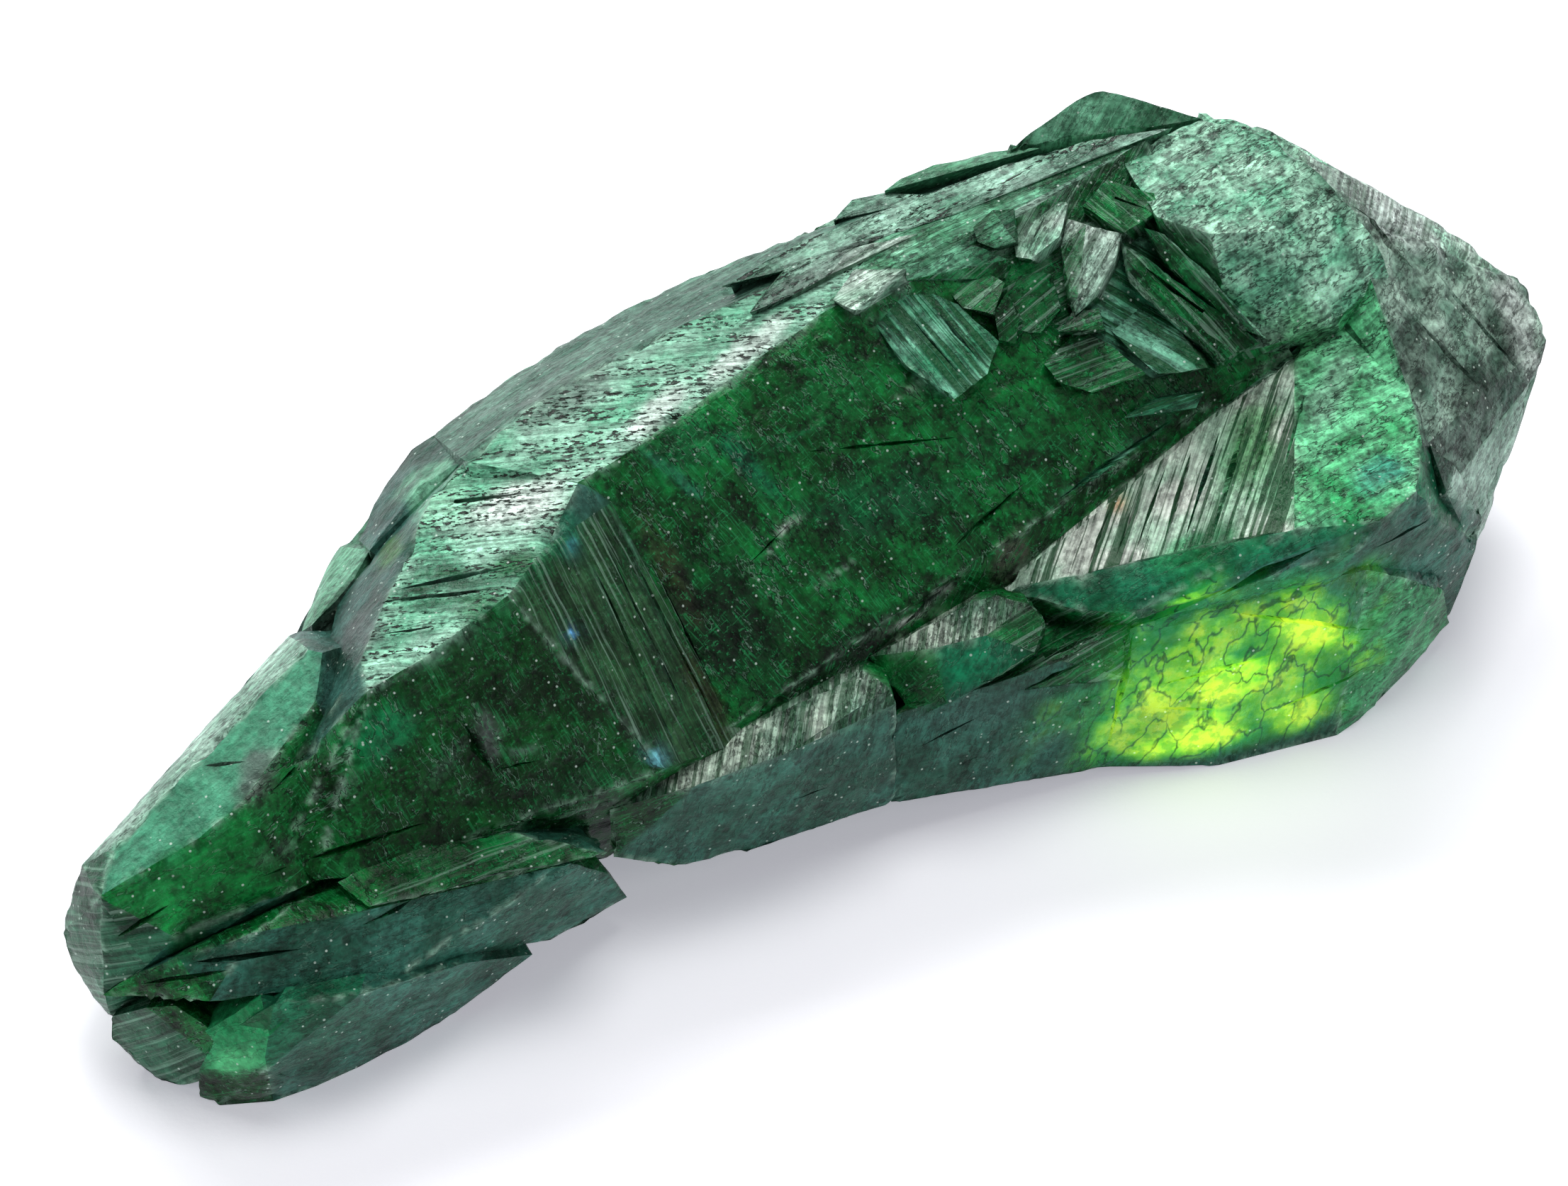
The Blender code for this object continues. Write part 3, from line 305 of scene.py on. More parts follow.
# Where each face of the crystal shows on the drawing: right, up, its kind, the angle of
# its growth lines, and how far a neighbour may bend and still belong to it, in degrees.
FACE_POINTS: tuple[tuple[float, float, Face, float, float], ...] = (
    (-14.7, 2.6, Face.SILVER, 5, 6), (-13.3, 5.9, Face.SILVER, 5, 6),
    (-7.4, 9.6, Face.BAND, 30, 6), (0.0, 13.6, Face.BAND, 30, 6),
    (5.5, 17.6, Face.BAND, 25, 8), (12.0, 19.5, Face.SLIVER, 25, 8),
    (-13.3, 7.4, Face.BAND, 35, 8), (-3.7, 14.4, Face.BAND_BACK, 30, 10),
    (-15.2, 7.8, Face.BAND_BACK, 40, 8), (5.8, 16.8, Face.STEP_PALE, 25, 8),
    (-18.0, 5.6, Face.PLATE, 50, 14), (-20.9, 1.3, Face.PALE_PLATE, 50, 12),
    (-18.3, 2.0, Face.PLATE, 50, 8), (-19.8, -0.8, Face.GREY, 50, 12),
    (-21.6, -4.2, Face.PLATE, 50, 12),
    (0.0, 5.8, Face.DEEP, -50, 3), (7.4, 5.8, Face.DEEP, -50, 3),
    (3.7, 9.5, Face.DEEP, -45, 3), (13.0, 6.5, Face.DEEP, 35, 6),
    (-0.5, 11.0, Face.DEEP, -45, 6), (10.0, 1.5, Face.DEEP, 60, 6),
    (-5.5, -0.9, Face.OLIVE, -62, 8), (-9.4, 4.1, Face.PLATE, -55, 6),
    (-13.3, -4.2, Face.DARK, -60, 10), (-11.0, -7.6, Face.DEEP, -20, 10),
    (-14.5, -2.0, Face.DEEP, -60, 8), (-19.8, -7.0, Face.DEEP, -60, 10),
    (-27.0, -6.5, Face.SLIVER, 45, 6), (-27.5, -10.2, Face.SAGE, 40, 8),
    (-20.8, -5.2, Face.PLATE, 40, 8), (-23.5, -9.8, Face.DEEP, 40, 8),
    (-25.6, -12.1, Face.FRESH, 30, 8), (-29.5, -14.6, Face.FRESH, 30, 10),
    (-21.5, -10.5, Face.DARK, 30, 10), (-33.2, -14.4, Face.CAP, 0, 12),
    (-32.9, -17.4, Face.CAP, 0, 12), (-31.0, -16.6, Face.CAP, 10, 8),
    (-21.5, -14.6, Face.DEEP, -40, 8), (-15.2, -12.8, Face.STEP_DARK, 20, 8),
    (-27.4, -17.0, Face.TEAL, 20, 12), (-21.5, -16.6, Face.TEAL, 20, 12),
    (-14.7, -15.0, Face.TEAL, 25, 12), (-11.5, -13.6, Face.TEAL, 25, 12),
    (-25.8, -21.6, Face.BRIGHT_SHELL, 20, 8), (-21.9, -20.3, Face.SHELL, 20, 12),
    (-17.5, -19.6, Face.TEAL, 20, 10), (-29.7, -20.8, Face.CAP, 20, 12),
    (-28.2, -18.9, Face.DEEP, 20, 12), (-26.5, -23.3, Face.DARK, 10, 12),
    (2.6, -4.8, Face.LIP, 80, 8), (-3.7, -9.4, Face.TEAL, 60, 6),
    (2.9, -7.0, Face.TEAL, 70, 8), (8.5, -1.6, Face.LIP, 80, 8),
    (6.3, -4.0, Face.FRESH, 40, 8), (9.6, -3.2, Face.SHELL, 60, 8),
    (-6.9, -8.8, Face.DEEP, 20, 8), (-8.2, -10.4, Face.DARK, 20, 10),
    (0.0, -9.4, Face.TEAL, 70, 12), (9.2, -6.0, Face.TEAL, 70, 12),
    (13.5, -2.2, Face.STEP_DARK, 30, 10), (11.8, -2.6, Face.STEP_DARK, 30, 10),
    (15.9, 3.0, Face.SLAB, 70, 5), (25.5, 7.0, Face.SLAB_GREEN, 25, 6),
    (16.5, 0.9, Face.SHELL, 30, 8), (22.3, 1.9, Face.SHELL, 30, 10),
    (20.5, -0.6, Face.TEAL, 30, 8), (26.3, 0.8, Face.TEAL, 30, 8),
    (22.1, -3.5, Face.FOOT, 25, 20), (28.8, -1.6, Face.FOOT, 30, 12),
    (30.0, 2.0, Face.TEAL, 40, 10), (28.6, 6.0, Face.SHELL, 60, 8),
    (22.1, 18.5, Face.KNOB, 30, 10), (25.6, 15.0, Face.KNOB, 30, 10),
    (22.0, 15.0, Face.KNOB, 30, 10), (24.2, 13.5, Face.KNOB, 30, 8),
    (27.5, 12.2, Face.SLAB_GREEN, 40, 10), (15.5, 22.5, Face.PALE_PLATE, 60, 15),
    (8.5, 19.8, Face.PALE_PLATE, 25, 10), (31.5, 13.5, Face.BLUNT, 60, 10),
    (29.0, 17.5, Face.STEP_WHITE, 70, 10), (33.5, 6.0, Face.SLIVER, 60, 8),
    (31.0, 8.0, Face.GREY, 60, 8),
    (6.8, 12.0, Face.STEP_TEAL, -50, 6), (9.3, 14.5, Face.STEP_DARK, 40, 6),
    (11.8, 13.4, Face.STEP_DARK, 40, 6), (11.8, 15.2, Face.STEP_DARK, 30, 6),
    (14.7, 15.8, Face.STEP_WHITE, 60, 6), (13.7, 15.4, Face.STEP_DARK, 60, 6),
    (16.3, 13.2, Face.STEP_TEAL, -30, 6), (14.2, 10.9, Face.STEP_DARK, 20, 6),
    (17.8, 12.0, Face.STEP_TEAL, -30, 6), (18.2, 14.6, Face.STEP_DARK, -48, 6),
    (19.6, 12.6, Face.STEP_DARK, -48, 6), (15.9, 18.4, Face.STEP_DARK, -40, 6),
    (14.0, 18.6, Face.STEP_DARK, 60, 6), (12.2, 17.2, Face.STEP_WHITE, 60, 6),
    (10.0, 17.2, Face.STEP_PALE, 30, 6), (3.8, 14.5, Face.STEP_WHITE, 30, 6),
    (8.0, 15.5, Face.STEP_PALE, 30, 6), (18.5, 8.9, Face.STEP_TEAL, 20, 6),
)

# Kinds for the faces that the drawing doesn't show: those turned up, and the others.
HIDDEN_TOP = (Face.BAND_BACK, Face.SAGE, Face.STEP_PALE, Face.KNOB)
HIDDEN_SIDE = (Face.TEAL, Face.DEEP, Face.OLIVE, Face.PLATE, Face.DARK, Face.SHELL)


@dataclass(frozen=True)
class Oval:
    """A ragged oval on the drawing's side of the crystal, in millimetres and degrees."""

    right: float
    up: float
    half_long: float
    half_wide: float
    turn: float
    strength: float

    # How far noise breaks the rim, and where the oval starts and ends to fade, in radii.
    RAGGED = 1.1
    RIM = (0.5, 1.1)

    def share(self, spots: Array, ragged: Array) -> Array:
        """Returns how fully the oval covers each spot, its rim broken by ragged noise."""
        turn = math.radians(self.turn)
        gap = spots - np.array([self.right, self.up])
        along = gap @ np.array([math.cos(turn), math.sin(turn)]) / self.half_long
        across = gap @ np.array([-math.sin(turn), math.cos(turn)]) / self.half_wide
        out = np.hypot(along, across) + self.RAGGED * (ragged - 0.5)
        return self.strength * (1 - ramp(out, *self.RIM))


@dataclass(frozen=True)
class Patch(Oval):
    """A ragged oval of another colour."""

    colour: str


# Each row: right, up, half length, half width, turn, strength and colour. Thin ones are
# veins and cracks, tiny ones painted glints, and wide ones stains, clear growth and
# painted shade in hollows; the near-white wide ones on the silvery band are painted sheen
# and the brown ones painted olive-brown reflection. Later rows lie over earlier ones.
PATCHES = tuple(Patch(*row) for row in (
    (21.6, 6.6, 1.4, 3.2, -20, 0.8, "#8FDCA6"), (23.4, 4.6, 1.6, 1.6, 0, 0.7, "#6CC48C"),
    (5.6, 6.2, 4.6, 0.22, 4, 0.9, "#031408"), (0.6, 7.4, 2.6, 0.16, 28, 0.8, "#0A6A3A"),
    (-2.0, 6.4, 3.0, 0.5, -48, 0.7, "#0E6448"), (7.6, 3.2, 2.4, 0.3, -25, 0.9, "#031809"),
    (-1.6, 3.4, 3.8, 0.24, -55, 0.8, "#04200E"), (11.4, 6.2, 2.6, 0.5, 28, 0.8, "#063C1C"),
    (-6.0, -7.8, 0.4, 0.4, 0, 1.0, "#8FEBFF"), (-10.0, 2.3, 0.25, 0.25, 0, 1.0, "#6FD8F0"),
    (-10.0, -1.9, 0.2, 0.3, 0, 1.0, "#6FB8F0"), (15.7, 4.2, 0.3, 0.4, 0, 1.0, "#F0A868"),
    (-1.5, -8.4, 3.4, 0.7, 25, 0.6, "#3A6E5C"), (9.0, -5.4, 3.0, 1.2, 10, 0.5, "#3A665C"),
    (24.2, 12.0, 1.8, 1.6, 40, 0.8, "#4E9A66"), (34.4, 13.0, 0.9, 3.0, 15, 0.9, "#C6D4CC"),
    (28.9, 17.6, 2.6, 1.0, -35, 0.8, "#C9D6D0"), (19.0, 2.2, 2.6, 0.9, 24, 0.8, "#37B070"),
    (14.4, -5.0, 2.4, 1.6, 20, 0.7, "#257A4C"), (3.2, -5.6, 1.4, 1.4, 30, 0.7, "#3A7A62"),
    (-15.2, 1.05, 3.6, 0.2, 7, 1.0, "#0C4A28"), (-15.6, 0.35, 3.2, 0.16, 7, 1.0, "#0C4A28"),
    (-16.4, -0.5, 2.8, 0.2, 8, 0.9, "#15593A"), (-17.0, -1.9, 1.8, 0.12, 8, 0.8, "#1E5E42"),
    (-12.6, 1.2, 1.6, 0.9, 10, 0.9, "#0A5A2E"), (-14.5, 3.9, 2.8, 0.1, 8, 0.7, "#3A6E54"),
    (0.1, 3.1, 0.8, 0.13, 33, 0.9, "#B9CDBE"), (-1.0, 1.7, 0.9, 0.11, 42, 0.9, "#8FAF9A"),
    (5.6, -1.4, 1.4, 0.16, 30, 1.0, "#C3CFC6"), (7.5, 0.2, 0.7, 0.14, 24, 0.9, "#C3CFC6"),
    (2.4, 0.9, 1.2, 0.1, 35, 0.9, "#7FA38C"), (-3.0, 10.4, 1.2, 0.12, -45, 0.9, "#5FA382"),
    (-5.2, 5.6, 2.2, 0.3, -38, 0.8, "#2C7A5E"), (-7.3, 2.5, 2.4, 0.12, -62, 0.8, "#4C7F66"),
    (-23.5, -12.0, 1.6, 0.1, 30, 0.8, "#7FB394"), (-20.6, -9.2, 1.0, 0.12, 50, 0.8, "#8FC0A4"),
    (-16.0, -8.2, 1.3, 0.1, 48, 0.8, "#6FA386"), (-12.2, -7.4, 1.0, 0.14, 12, 0.8, "#5A7A6A"),
    (6.0, 9.6, 0.9, 0.12, 30, 0.9, "#A9C4B2"), (-10.5, 9.0, 3.6, 1.1, 35, 0.75, "#5C6E66"),
    (-6.0, 8.6, 2.0, 0.8, 40, 0.7, "#DCE9E2"), (-12.3, 4.2, 2.6, 1.2, 20, 0.8, "#E3EFE8"),
    (-16.4, 4.6, 1.8, 1.6, 40, 0.7, "#86CFA8"), (-1.5, 11.6, 3.0, 0.7, 38, 0.7, "#DDEAE3"),
    (1.5, 15.0, 3.4, 0.6, 28, 0.7, "#5E7268"), (-18.5, 1.9, 0.9, 0.5, 60, 0.6, "#4A8A30"),
    (-19.6, -1.8, 0.9, 1.2, 60, 0.6, "#5C6A66"), (-19.0, -6.4, 1.8, 1.6, 40, 0.8, "#0C7A48"),
    (-13.8, -1.0, 2.0, 1.4, 30, 0.7, "#0B5A2A"), (-10.6, 2.8, 1.0, 1.6, -20, 0.6, "#0E6A48"),
    (-9.0, -9.2, 3.0, 1.2, 15, 0.7, "#08421F"), (2.3, 9.5, 2.6, 2.2, 30, 0.8, "#0B5E2A"),
    (-4.6, 7.4, 2.0, 1.6, 40, 0.7, "#0C5A30"), (4.3, 4.2, 3.8, 1.8, 10, 0.7, "#0D5230"),
    (10.0, 7.4, 3.0, 1.2, 25, 0.6, "#0B4A24"), (-2.6, -1.6, 4.5, 2.4, -50, 0.85, "#031A0C"),
    (3.4, -2.4, 3.4, 1.2, 30, 0.8, "#03190B"), (-5.6, 1.5, 3.4, 0.7, -62, 0.5, "#3A2A22"),
    (-3.6, -5.0, 3.0, 0.6, -62, 0.5, "#3C3A20"), (10.6, 1.8, 1.5, 1.0, 60, 0.8, "#55524A"),
    (-13.9, -6.6, 0.6, 1.3, 15, 0.9, "#4E5654"), (-24.9, -8.4, 0.9, 1.8, -20, 0.8, "#5A615F"),
    (-28.6, -13.2, 2.6, 1.3, 35, 0.7, "#14803C"), (-28.0, -16.2, 1.4, 1.0, 60, 0.8, "#0A4A1E"),
    (-25.6, -22.0, 1.4, 0.8, 10, 0.8, "#4FB878"), (-20.6, -20.4, 2.2, 1.4, 20, 0.6, "#1E5E46"),
    (6.4, -4.2, 1.2, 1.0, 20, 0.9, "#063A18"), (8.6, -3.4, 1.6, 0.8, 40, 0.8, "#16855A"),
    (20.0, 2.6, 2.8, 0.7, 28, 0.7, "#16703F"), (28.0, 5.6, 1.4, 0.9, 30, 0.8, "#1E8A78"),
    (22.0, 7.2, 1.2, 2.4, -20, 0.6, "#3C8A3E"), (25.8, 9.6, 2.4, 1.0, 60, 0.6, "#8CB7A0"),
    (32.4, 9.4, 1.6, 1.2, 50, 0.8, "#2A3E34"), (33.8, 12.0, 1.0, 1.6, 20, 0.7, "#1E3A2C"),
    (29.6, 11.0, 1.0, 2.0, 10, 0.7, "#35493F"), (26.3, 19.0, 2.2, 0.9, -35, 0.6, "#2E4A3C"),
))


# The thin foot's painted glow, standing for light let through: a dim window with bright patches in
# it.
PAINTED_GLOW_FOOT = (
    Oval(20.8, -4.0, 8.6, 5.0, 27, 0.5), Oval(24.9, -1.8, 2.4, 1.1, -10, 0.95),
    Oval(20.6, -4.0, 3.0, 1.3, 14, 0.95), Oval(19.2, -7.0, 3.2, 1.5, 14, 1.0),
    Oval(17.6, -4.9, 1.4, 1.2, 30, 0.7), Oval(24.0, -5.8, 1.8, 1.0, 20, 0.7),
    Oval(19.4, -0.1, 1.8, 0.3, 26, 0.8),
)


@dataclass
class Group:
    """Neighbouring facets that grew as one face, with the frame of its growth lines."""

    face: Face
    along: Vector
    across: Vector
    seed: float
    tone: float = 1.0


@dataclass
class CrystalSkin:
    """The crystal's outside: its facets sorted into faces and refined.

    Lengths are in millimetres, areas in square millimetres, and bends in degrees.
    """

    node: str = "emerald_crystal"
    name: str = "emerald_skin"
    near_edge: float = 0.3
    far_edge: float = 0.6
    slack: float = 1.4
    stages: tuple[float, ...] = (8.0, 4.0, 2.0, 1.0)
    passes: int = 4
    weld: float = 0.002
    flat_bend: float = 0.4
    seen_bend: float = 8.0
    hidden_bend: float = 14.0
    turned_up: float = 0.6
    turned_down: float = -0.8
    turned_endways: float = 0.85
    edge_on: float = -0.15
    crease: float = math.radians(16.0)
    seed_step: float = 3.7
    cut_area: float = 1.1
    cut_shade_tone: float = 0.35
    face_tone: float = 0.85
    tone_range: float = 0.3
    worn_area: float = 2.5
    worn_step: float = 0.15
    groups: list[Group] = field(default_factory=list)

    def coarse(self) -> BMesh:
        """Returns the solid's own facets, its flat ones joined."""
        body = bmesh.new()
        body.from_mesh(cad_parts[self.node].data)
        bmesh.ops.remove_doubles(body, verts=body.verts[:], dist=self.weld * MM)
        bmesh.ops.dissolve_limit(
            body, angle_limit=math.radians(self.flat_bend), verts=body.verts[:],
            edges=body.edges[:],
        )
        body.faces.ensure_lookup_table()
        body.normal_update()
        return body

    def growth_frame(self, normal: Vector, angle: float | None) -> tuple[Vector, Vector]:
        """Returns the directions along and across a facet's growth lines.

        The angle is the lines' own on the drawing, or None to follow the crystal's length.
        """
        if angle is None:
            at_end = abs(normal.x) > self.turned_endways
            along = Vector((0, 0, 1)) if at_end else Vector((1, 0, 0))
            along = along - normal * normal.dot(along)
        else:
            turn = math.radians(angle)
            flat = DRAWING.rightward() * math.cos(turn) + DRAWING.upward() * math.sin(turn)
            ahead = DRAWING.ahead()
            along = flat - ahead * (normal.dot(flat) / min(normal.dot(ahead), self.edge_on))
        along = (along - normal * normal.dot(along)).normalized()
        return along, normal.cross(along)

    def flood(
        self, start: BMFace, face: Face, angle: float | None, bend: float,
        taken: dict[int, int],
    ) -> None:
        """Gives one facet and the neighbours that bend little from it the same kind.

        Args:
            start: The first facet.
            face: Its kind.
            angle: The angle of its growth lines on the drawing, or None.
            bend: How far a neighbour may bend.
            taken: The group of each facet that has one. It is added to.
        """
        along, across = self.growth_frame(start.normal, angle)
        number = len(self.groups)
        self.groups.append(Group(face, along, across, self.seed_step * number))
        limit = math.cos(math.radians(bend))
        taken[start.index] = number
        open_facets = [start]
        while open_facets:
            here = open_facets.pop()
            for side in here.edges:
                for other in side.link_faces:
                    if other.index in taken or other.normal.dot(start.normal) < limit:
                        continue
                    taken[other.index] = number
                    open_facets.append(other)

    def hidden_kind(self, normal: Vector, turn: int) -> Face:
        """Picks a kind for a facet that the drawing doesn't show."""
        if normal.z < self.turned_down:
            return Face.UNDER
        choices = HIDDEN_TOP if normal.z > self.turned_up else HIDDEN_SIDE
        return choices[turn % len(choices)]

    def name_faces(self, body: BMesh) -> dict[int, int]:
        """Sorts the facets into groups and returns the number of each facet's group.

        Facets that no face point reaches take the nearest point's kind where the drawing
        shows them, and otherwise a kind by the way they are turned.
        """
        tree = BVHTree.FromBMesh(body)
        taken: dict[int, int] = {}
        for right, up, face, angle, bend in FACE_POINTS:
            _, _, index, _ = tree.ray_cast(DRAWING.eye(), DRAWING.sight(right, up))
            if index is not None and index not in taken:
                self.flood(body.faces[index], face, angle, bend, taken)
        rest = [f for f in body.faces if f.index not in taken]
        rest.sort(key=lambda f: -f.calc_area())
        spots = np.array([point[:2] for point in FACE_POINTS])
        for turn, facet in enumerate(rest):
            if facet.index in taken:
                continue
            middle = facet.calc_center_median()
            if facet.normal.dot(DRAWING.eye() - middle) > 0:
                here = DRAWING.seen(np.array([middle]))
                _, _, face, angle, _ = FACE_POINTS[int(np.argmin(((spots - here) ** 2).sum(1)))]
                self.flood(facet, face, angle, self.seen_bend, taken)
            else:
                face = self.hidden_kind(facet.normal, turn)
                self.flood(facet, face, None, self.hidden_bend, taken)
        self.set_tones(body, taken)
        return taken

    def set_tones(self, body: BMesh, taken: dict[int, int]) -> None:
        """Gives each group its own lightness: thin cuts get painted shade, as in grooves, and others
        vary a little.
        """
        areas = np.zeros(len(self.groups))
        for facet in body.faces:
            areas[taken[facet.index]] += facet.calc_area() / MM ** 2
        chance = scatter(np.arange(len(areas))[:, None] * np.array([1, 3, 7]), seed=5)
        for group, area, draw in zip(self.groups, areas, chance):
            # Thin cuts are darkened: painted shade on a groove's walls.
            least = self.cut_shade_tone if area < self.cut_area else self.face_tone
            group.tone = least + self.tone_range * draw

    def is_long(self, edge: BMEdge, eye: Vector, stage: float) -> bool:
        """Says whether an edge is to be divided at a stage of the refining."""
        first, second = (v.co for v in edge.verts)
        seen = any(f.normal.dot(eye - first) > 0 for f in edge.link_faces)
        goal = self.near_edge if seen else self.far_edge
        return (first - second).length > goal * stage * self.slack * MM

    def refine(self, body: BMesh) -> None:
        """Divides the facets until no edge is long, finest on the drawing's side."""
        self.triangulate(body, "BEAUTY")
        eye = DRAWING.eye()
        for stage in self.stages:
            for _ in range(self.passes):
                long_edges = [edge for edge in body.edges if self.is_long(edge, eye, stage)]
                if not long_edges:
                    break
                bmesh.ops.subdivide_edges(body, edges=long_edges, cuts=1)
                self.triangulate(body, "SHORT_EDGE")

    @staticmethod
    def triangulate(body: BMesh, quads: str) -> None:
        """Cuts every facet with more than three sides into triangles."""
        many = [f for f in body.faces if len(f.verts) > 3]
        bmesh.ops.triangulate(body, faces=many, quad_method=quads, ngon_method="BEAUTY")

    def worn_edges(self, body: BMesh) -> KDTree:
        """Returns a tree of points along the crystal's outward edges."""
        places = []
        for edge in body.edges:
            if len(edge.link_faces) != 2 or edge.calc_face_angle_signed() < self.crease:
                continue
            if min(f.calc_area() for f in edge.link_faces) > self.worn_area * MM ** 2:
                first, second = (v.co for v in edge.verts)
                steps = max(1, round((second - first).length / (self.worn_step * MM)))
                places += [first.lerp(second, i / steps) for i in range(steps + 1)]
        tree = KDTree(len(places))
        for number, place in enumerate(places):
            tree.insert(place, number)
        tree.balance()
        return tree

    def build(self) -> bpy.types.Object:
        """Builds the dressed crystal."""
        body = self.coarse()
        edges = self.worn_edges(body)
        taken = self.name_faces(body)
        layer = body.faces.layers.int.new("group")
        for facet in body.faces:
            facet[layer] = taken[facet.index]
        self.refine(body)
        for edge in body.edges:
            edge.smooth = len(edge.link_faces) == 2 and edge.calc_face_angle() < self.crease
        for facet in body.faces:
            facet.smooth = True
        mesh = bpy.data.meshes.new(self.name)
        body.to_mesh(mesh)
        body.free()
        surface = SkinSurface(mesh, self.groups, edges)
        surface.roughen()
        surface.paint()
        return linked(self.name, mesh)


# The values of each face's finish that the material reads, four under each name.
STORED = {
    "marks": ("fleck", "stripe", "speckle", "crack"),
    "traits": ("pit", "rib", "roughness", "line"),
}


class SkinSurface:
    """The refined mesh as arrays, on which relief is raised and marks are laid.

    Lengths are in millimetres.
    """

    LUMP_HEIGHT = 2.2
    LUMP_LEVEL = 0.55
    # Shell-shaped hollows of the breaks: their width, their share of the relief, their seed.
    HOLLOWS = ((1.1, 0.7, 40), (0.5, 0.4, 47))
    HOLLOW_LEVEL = 0.45
    # Growth terraces run long: this is how fast they change along, across and by face.
    TERRACE_CHANGE = (0.06, 1.0, 1.0)
    TERRACE_LEVEL = 0.7
    CHIP_DEPTH = 0.28
    CHIP_REACH = 0.3
    CHIP_WIDTH = 1.3
    TABLE_GAP = 0.02
    PATCH_GRAIN = 0.9
    # Neighbouring faces' colours run together in torn patches along their border.
    BORDER_ROUNDS = 5
    TORN_WIDTH = 0.7
    TORN_SHARE = 0.85
    # Pale along the outward edges: partly wear, partly a painted highlight where edges catch the
    # light.
    WORN_HIGHLIGHT = "#A9D2BA"
    WORN_HIGHLIGHT_REACH = 0.16
    WORN_HIGHLIGHT_WIDTH = 0.4
    WORN_HIGHLIGHT_SHARE = 0.45
    # The foot's painted glow fades out toward the table between these two heights.
    LIT_HEIGHT = (0.2, 1.6)
    LIT_ROUNDS = 6
    LIT_GRAIN = 1.4

    def __init__(self, mesh: bpy.types.Mesh, groups: Sequence[Group], edges: KDTree) -> None:
        """Reads the mesh's points, corners and groups."""
        self.mesh = mesh
        self.groups = groups
        count = len(mesh.vertices)
        self.points = self.read(mesh.vertices, "co", 3, count)
        self.normals = self.read(mesh.vertices, "normal", 3, count)
        self.corner_point = self.read(mesh.loops, "vertex_index", 1, len(mesh.loops), int)
        face_group = self.read(
            mesh.attributes["group"].data, "value", 1, len(mesh.polygons), int
        )
        self.corner_group = np.repeat(face_group, 3)
        self.edge_gap = np.array([edges.find(p)[2] for p in self.points]) / MM

    @staticmethod
    def read(items: object, name: str, width: int, count: int, kind: type = float) -> Array:
        """Reads one value or row for each item of a mesh collection."""
        flat = np.zeros(count * width, np.int32 if kind is int else np.float32)
        items.foreach_get(name, flat)
        flat = flat.astype(kind)
        return flat.reshape(-1, width) if width > 1 else flat

    def by_corner(self, values: Sequence[object]) -> Array:
        """Returns each corner's value, from one value for each group."""
        return np.array(values)[self.corner_group]

    def finish(self, name: str) -> Array:
        """Returns each corner's value of the face finish."""
        return self.by_corner([getattr(group.face.value, name) for group in self.groups])

    def to_points(self, corner_values: Array) -> Array:
        """Averages a value of the corners onto the points."""
        count = np.bincount(self.corner_point, minlength=len(self.points))
        total = np.bincount(self.corner_point, corner_values, minlength=len(self.points))
        return total / np.maximum(count, 1)

    def growth(self) -> Array:
        """Returns each corner's place along and across the growth lines, and its seed."""
        along, across, seed = (
            self.by_corner([getattr(group, name) for group in self.groups])
            for name in ("along", "across", "seed")
        )
        place = self.points[self.corner_point] / MM
        return np.stack([(place * along).sum(1), (place * across).sum(1), seed], 1)

    def terraces(self) -> Array:
        """Returns how far each point rises on the growth terraces."""
        line = self.growth() * np.array(self.TERRACE_CHANGE)
        line[:, 1] /= self.finish("pitch")
        steps = ramp(soft_noise(line, seed=60), 0.35, 0.65) - self.TERRACE_LEVEL
        return self.to_points(self.finish("terrace") * steps)

    def roughen(self) -> None:
        """Raises the relief: grain, growth terraces and chipped edges."""
        place = self.points / MM
        grain = self.to_points(self.finish("grain"))
        lumps = rough_noise(place / grain[:, None], octaves=5, seed=3) - self.LUMP_LEVEL
        hollows = sum(
            (cell_noise(place / width, seed) - self.HOLLOW_LEVEL) * share
            for width, share, seed in self.HOLLOWS
        )
        rise = self.to_points(self.finish("relief")) * (self.LUMP_HEIGHT * lumps + hollows)
        rise += self.terraces()
        chips = ramp(rough_noise(place / self.CHIP_WIDTH, octaves=3, seed=80), 0.4, 0.75)
        rise -= self.CHIP_DEPTH * chips * np.exp(-((self.edge_gap / self.CHIP_REACH) ** 2))
        rise[self.points[:, 2] < self.TABLE_GAP * MM] = 0.0
        moved = self.points + self.normals * rise[:, None] * MM
        self.points = np.clip(moved, *(np.array(corner) for corner in CAD_BOX))
        self.mesh.vertices.foreach_set("co", self.points.astype(np.float32).ravel())
        self.mesh.update()

    def mottled(self, place: Array) -> Array:
        """Returns each corner's colour, mottled between its kind's two."""
        bright, shade = (
            self.by_corner([linear(getattr(g.face.value, name)) for g in self.groups])
            for name in ("colour", "shade")
        )
        share = rough_noise(place / self.finish("mottle")[:, None], octaves=4, seed=7)
        return overlay(bright, shade, ramp(share, 0.35, 0.65)[:, None])

    def patched(self, colour: Array) -> Array:
        """Returns the corners' colours with the drawing's patches laid over them."""
        spots = DRAWING.seen(self.points)
        faced = ramp(DRAWING.facing(self.points, self.normals), 0.0, 0.15)
        ragged = rough_noise(self.points / MM / self.PATCH_GRAIN, octaves=4, seed=120)
        for patch in PATCHES:
            share = (patch.share(spots, ragged) * faced)[self.corner_point]
            colour = overlay(colour, np.array(linear(patch.colour)), share[:, None])
        return colour

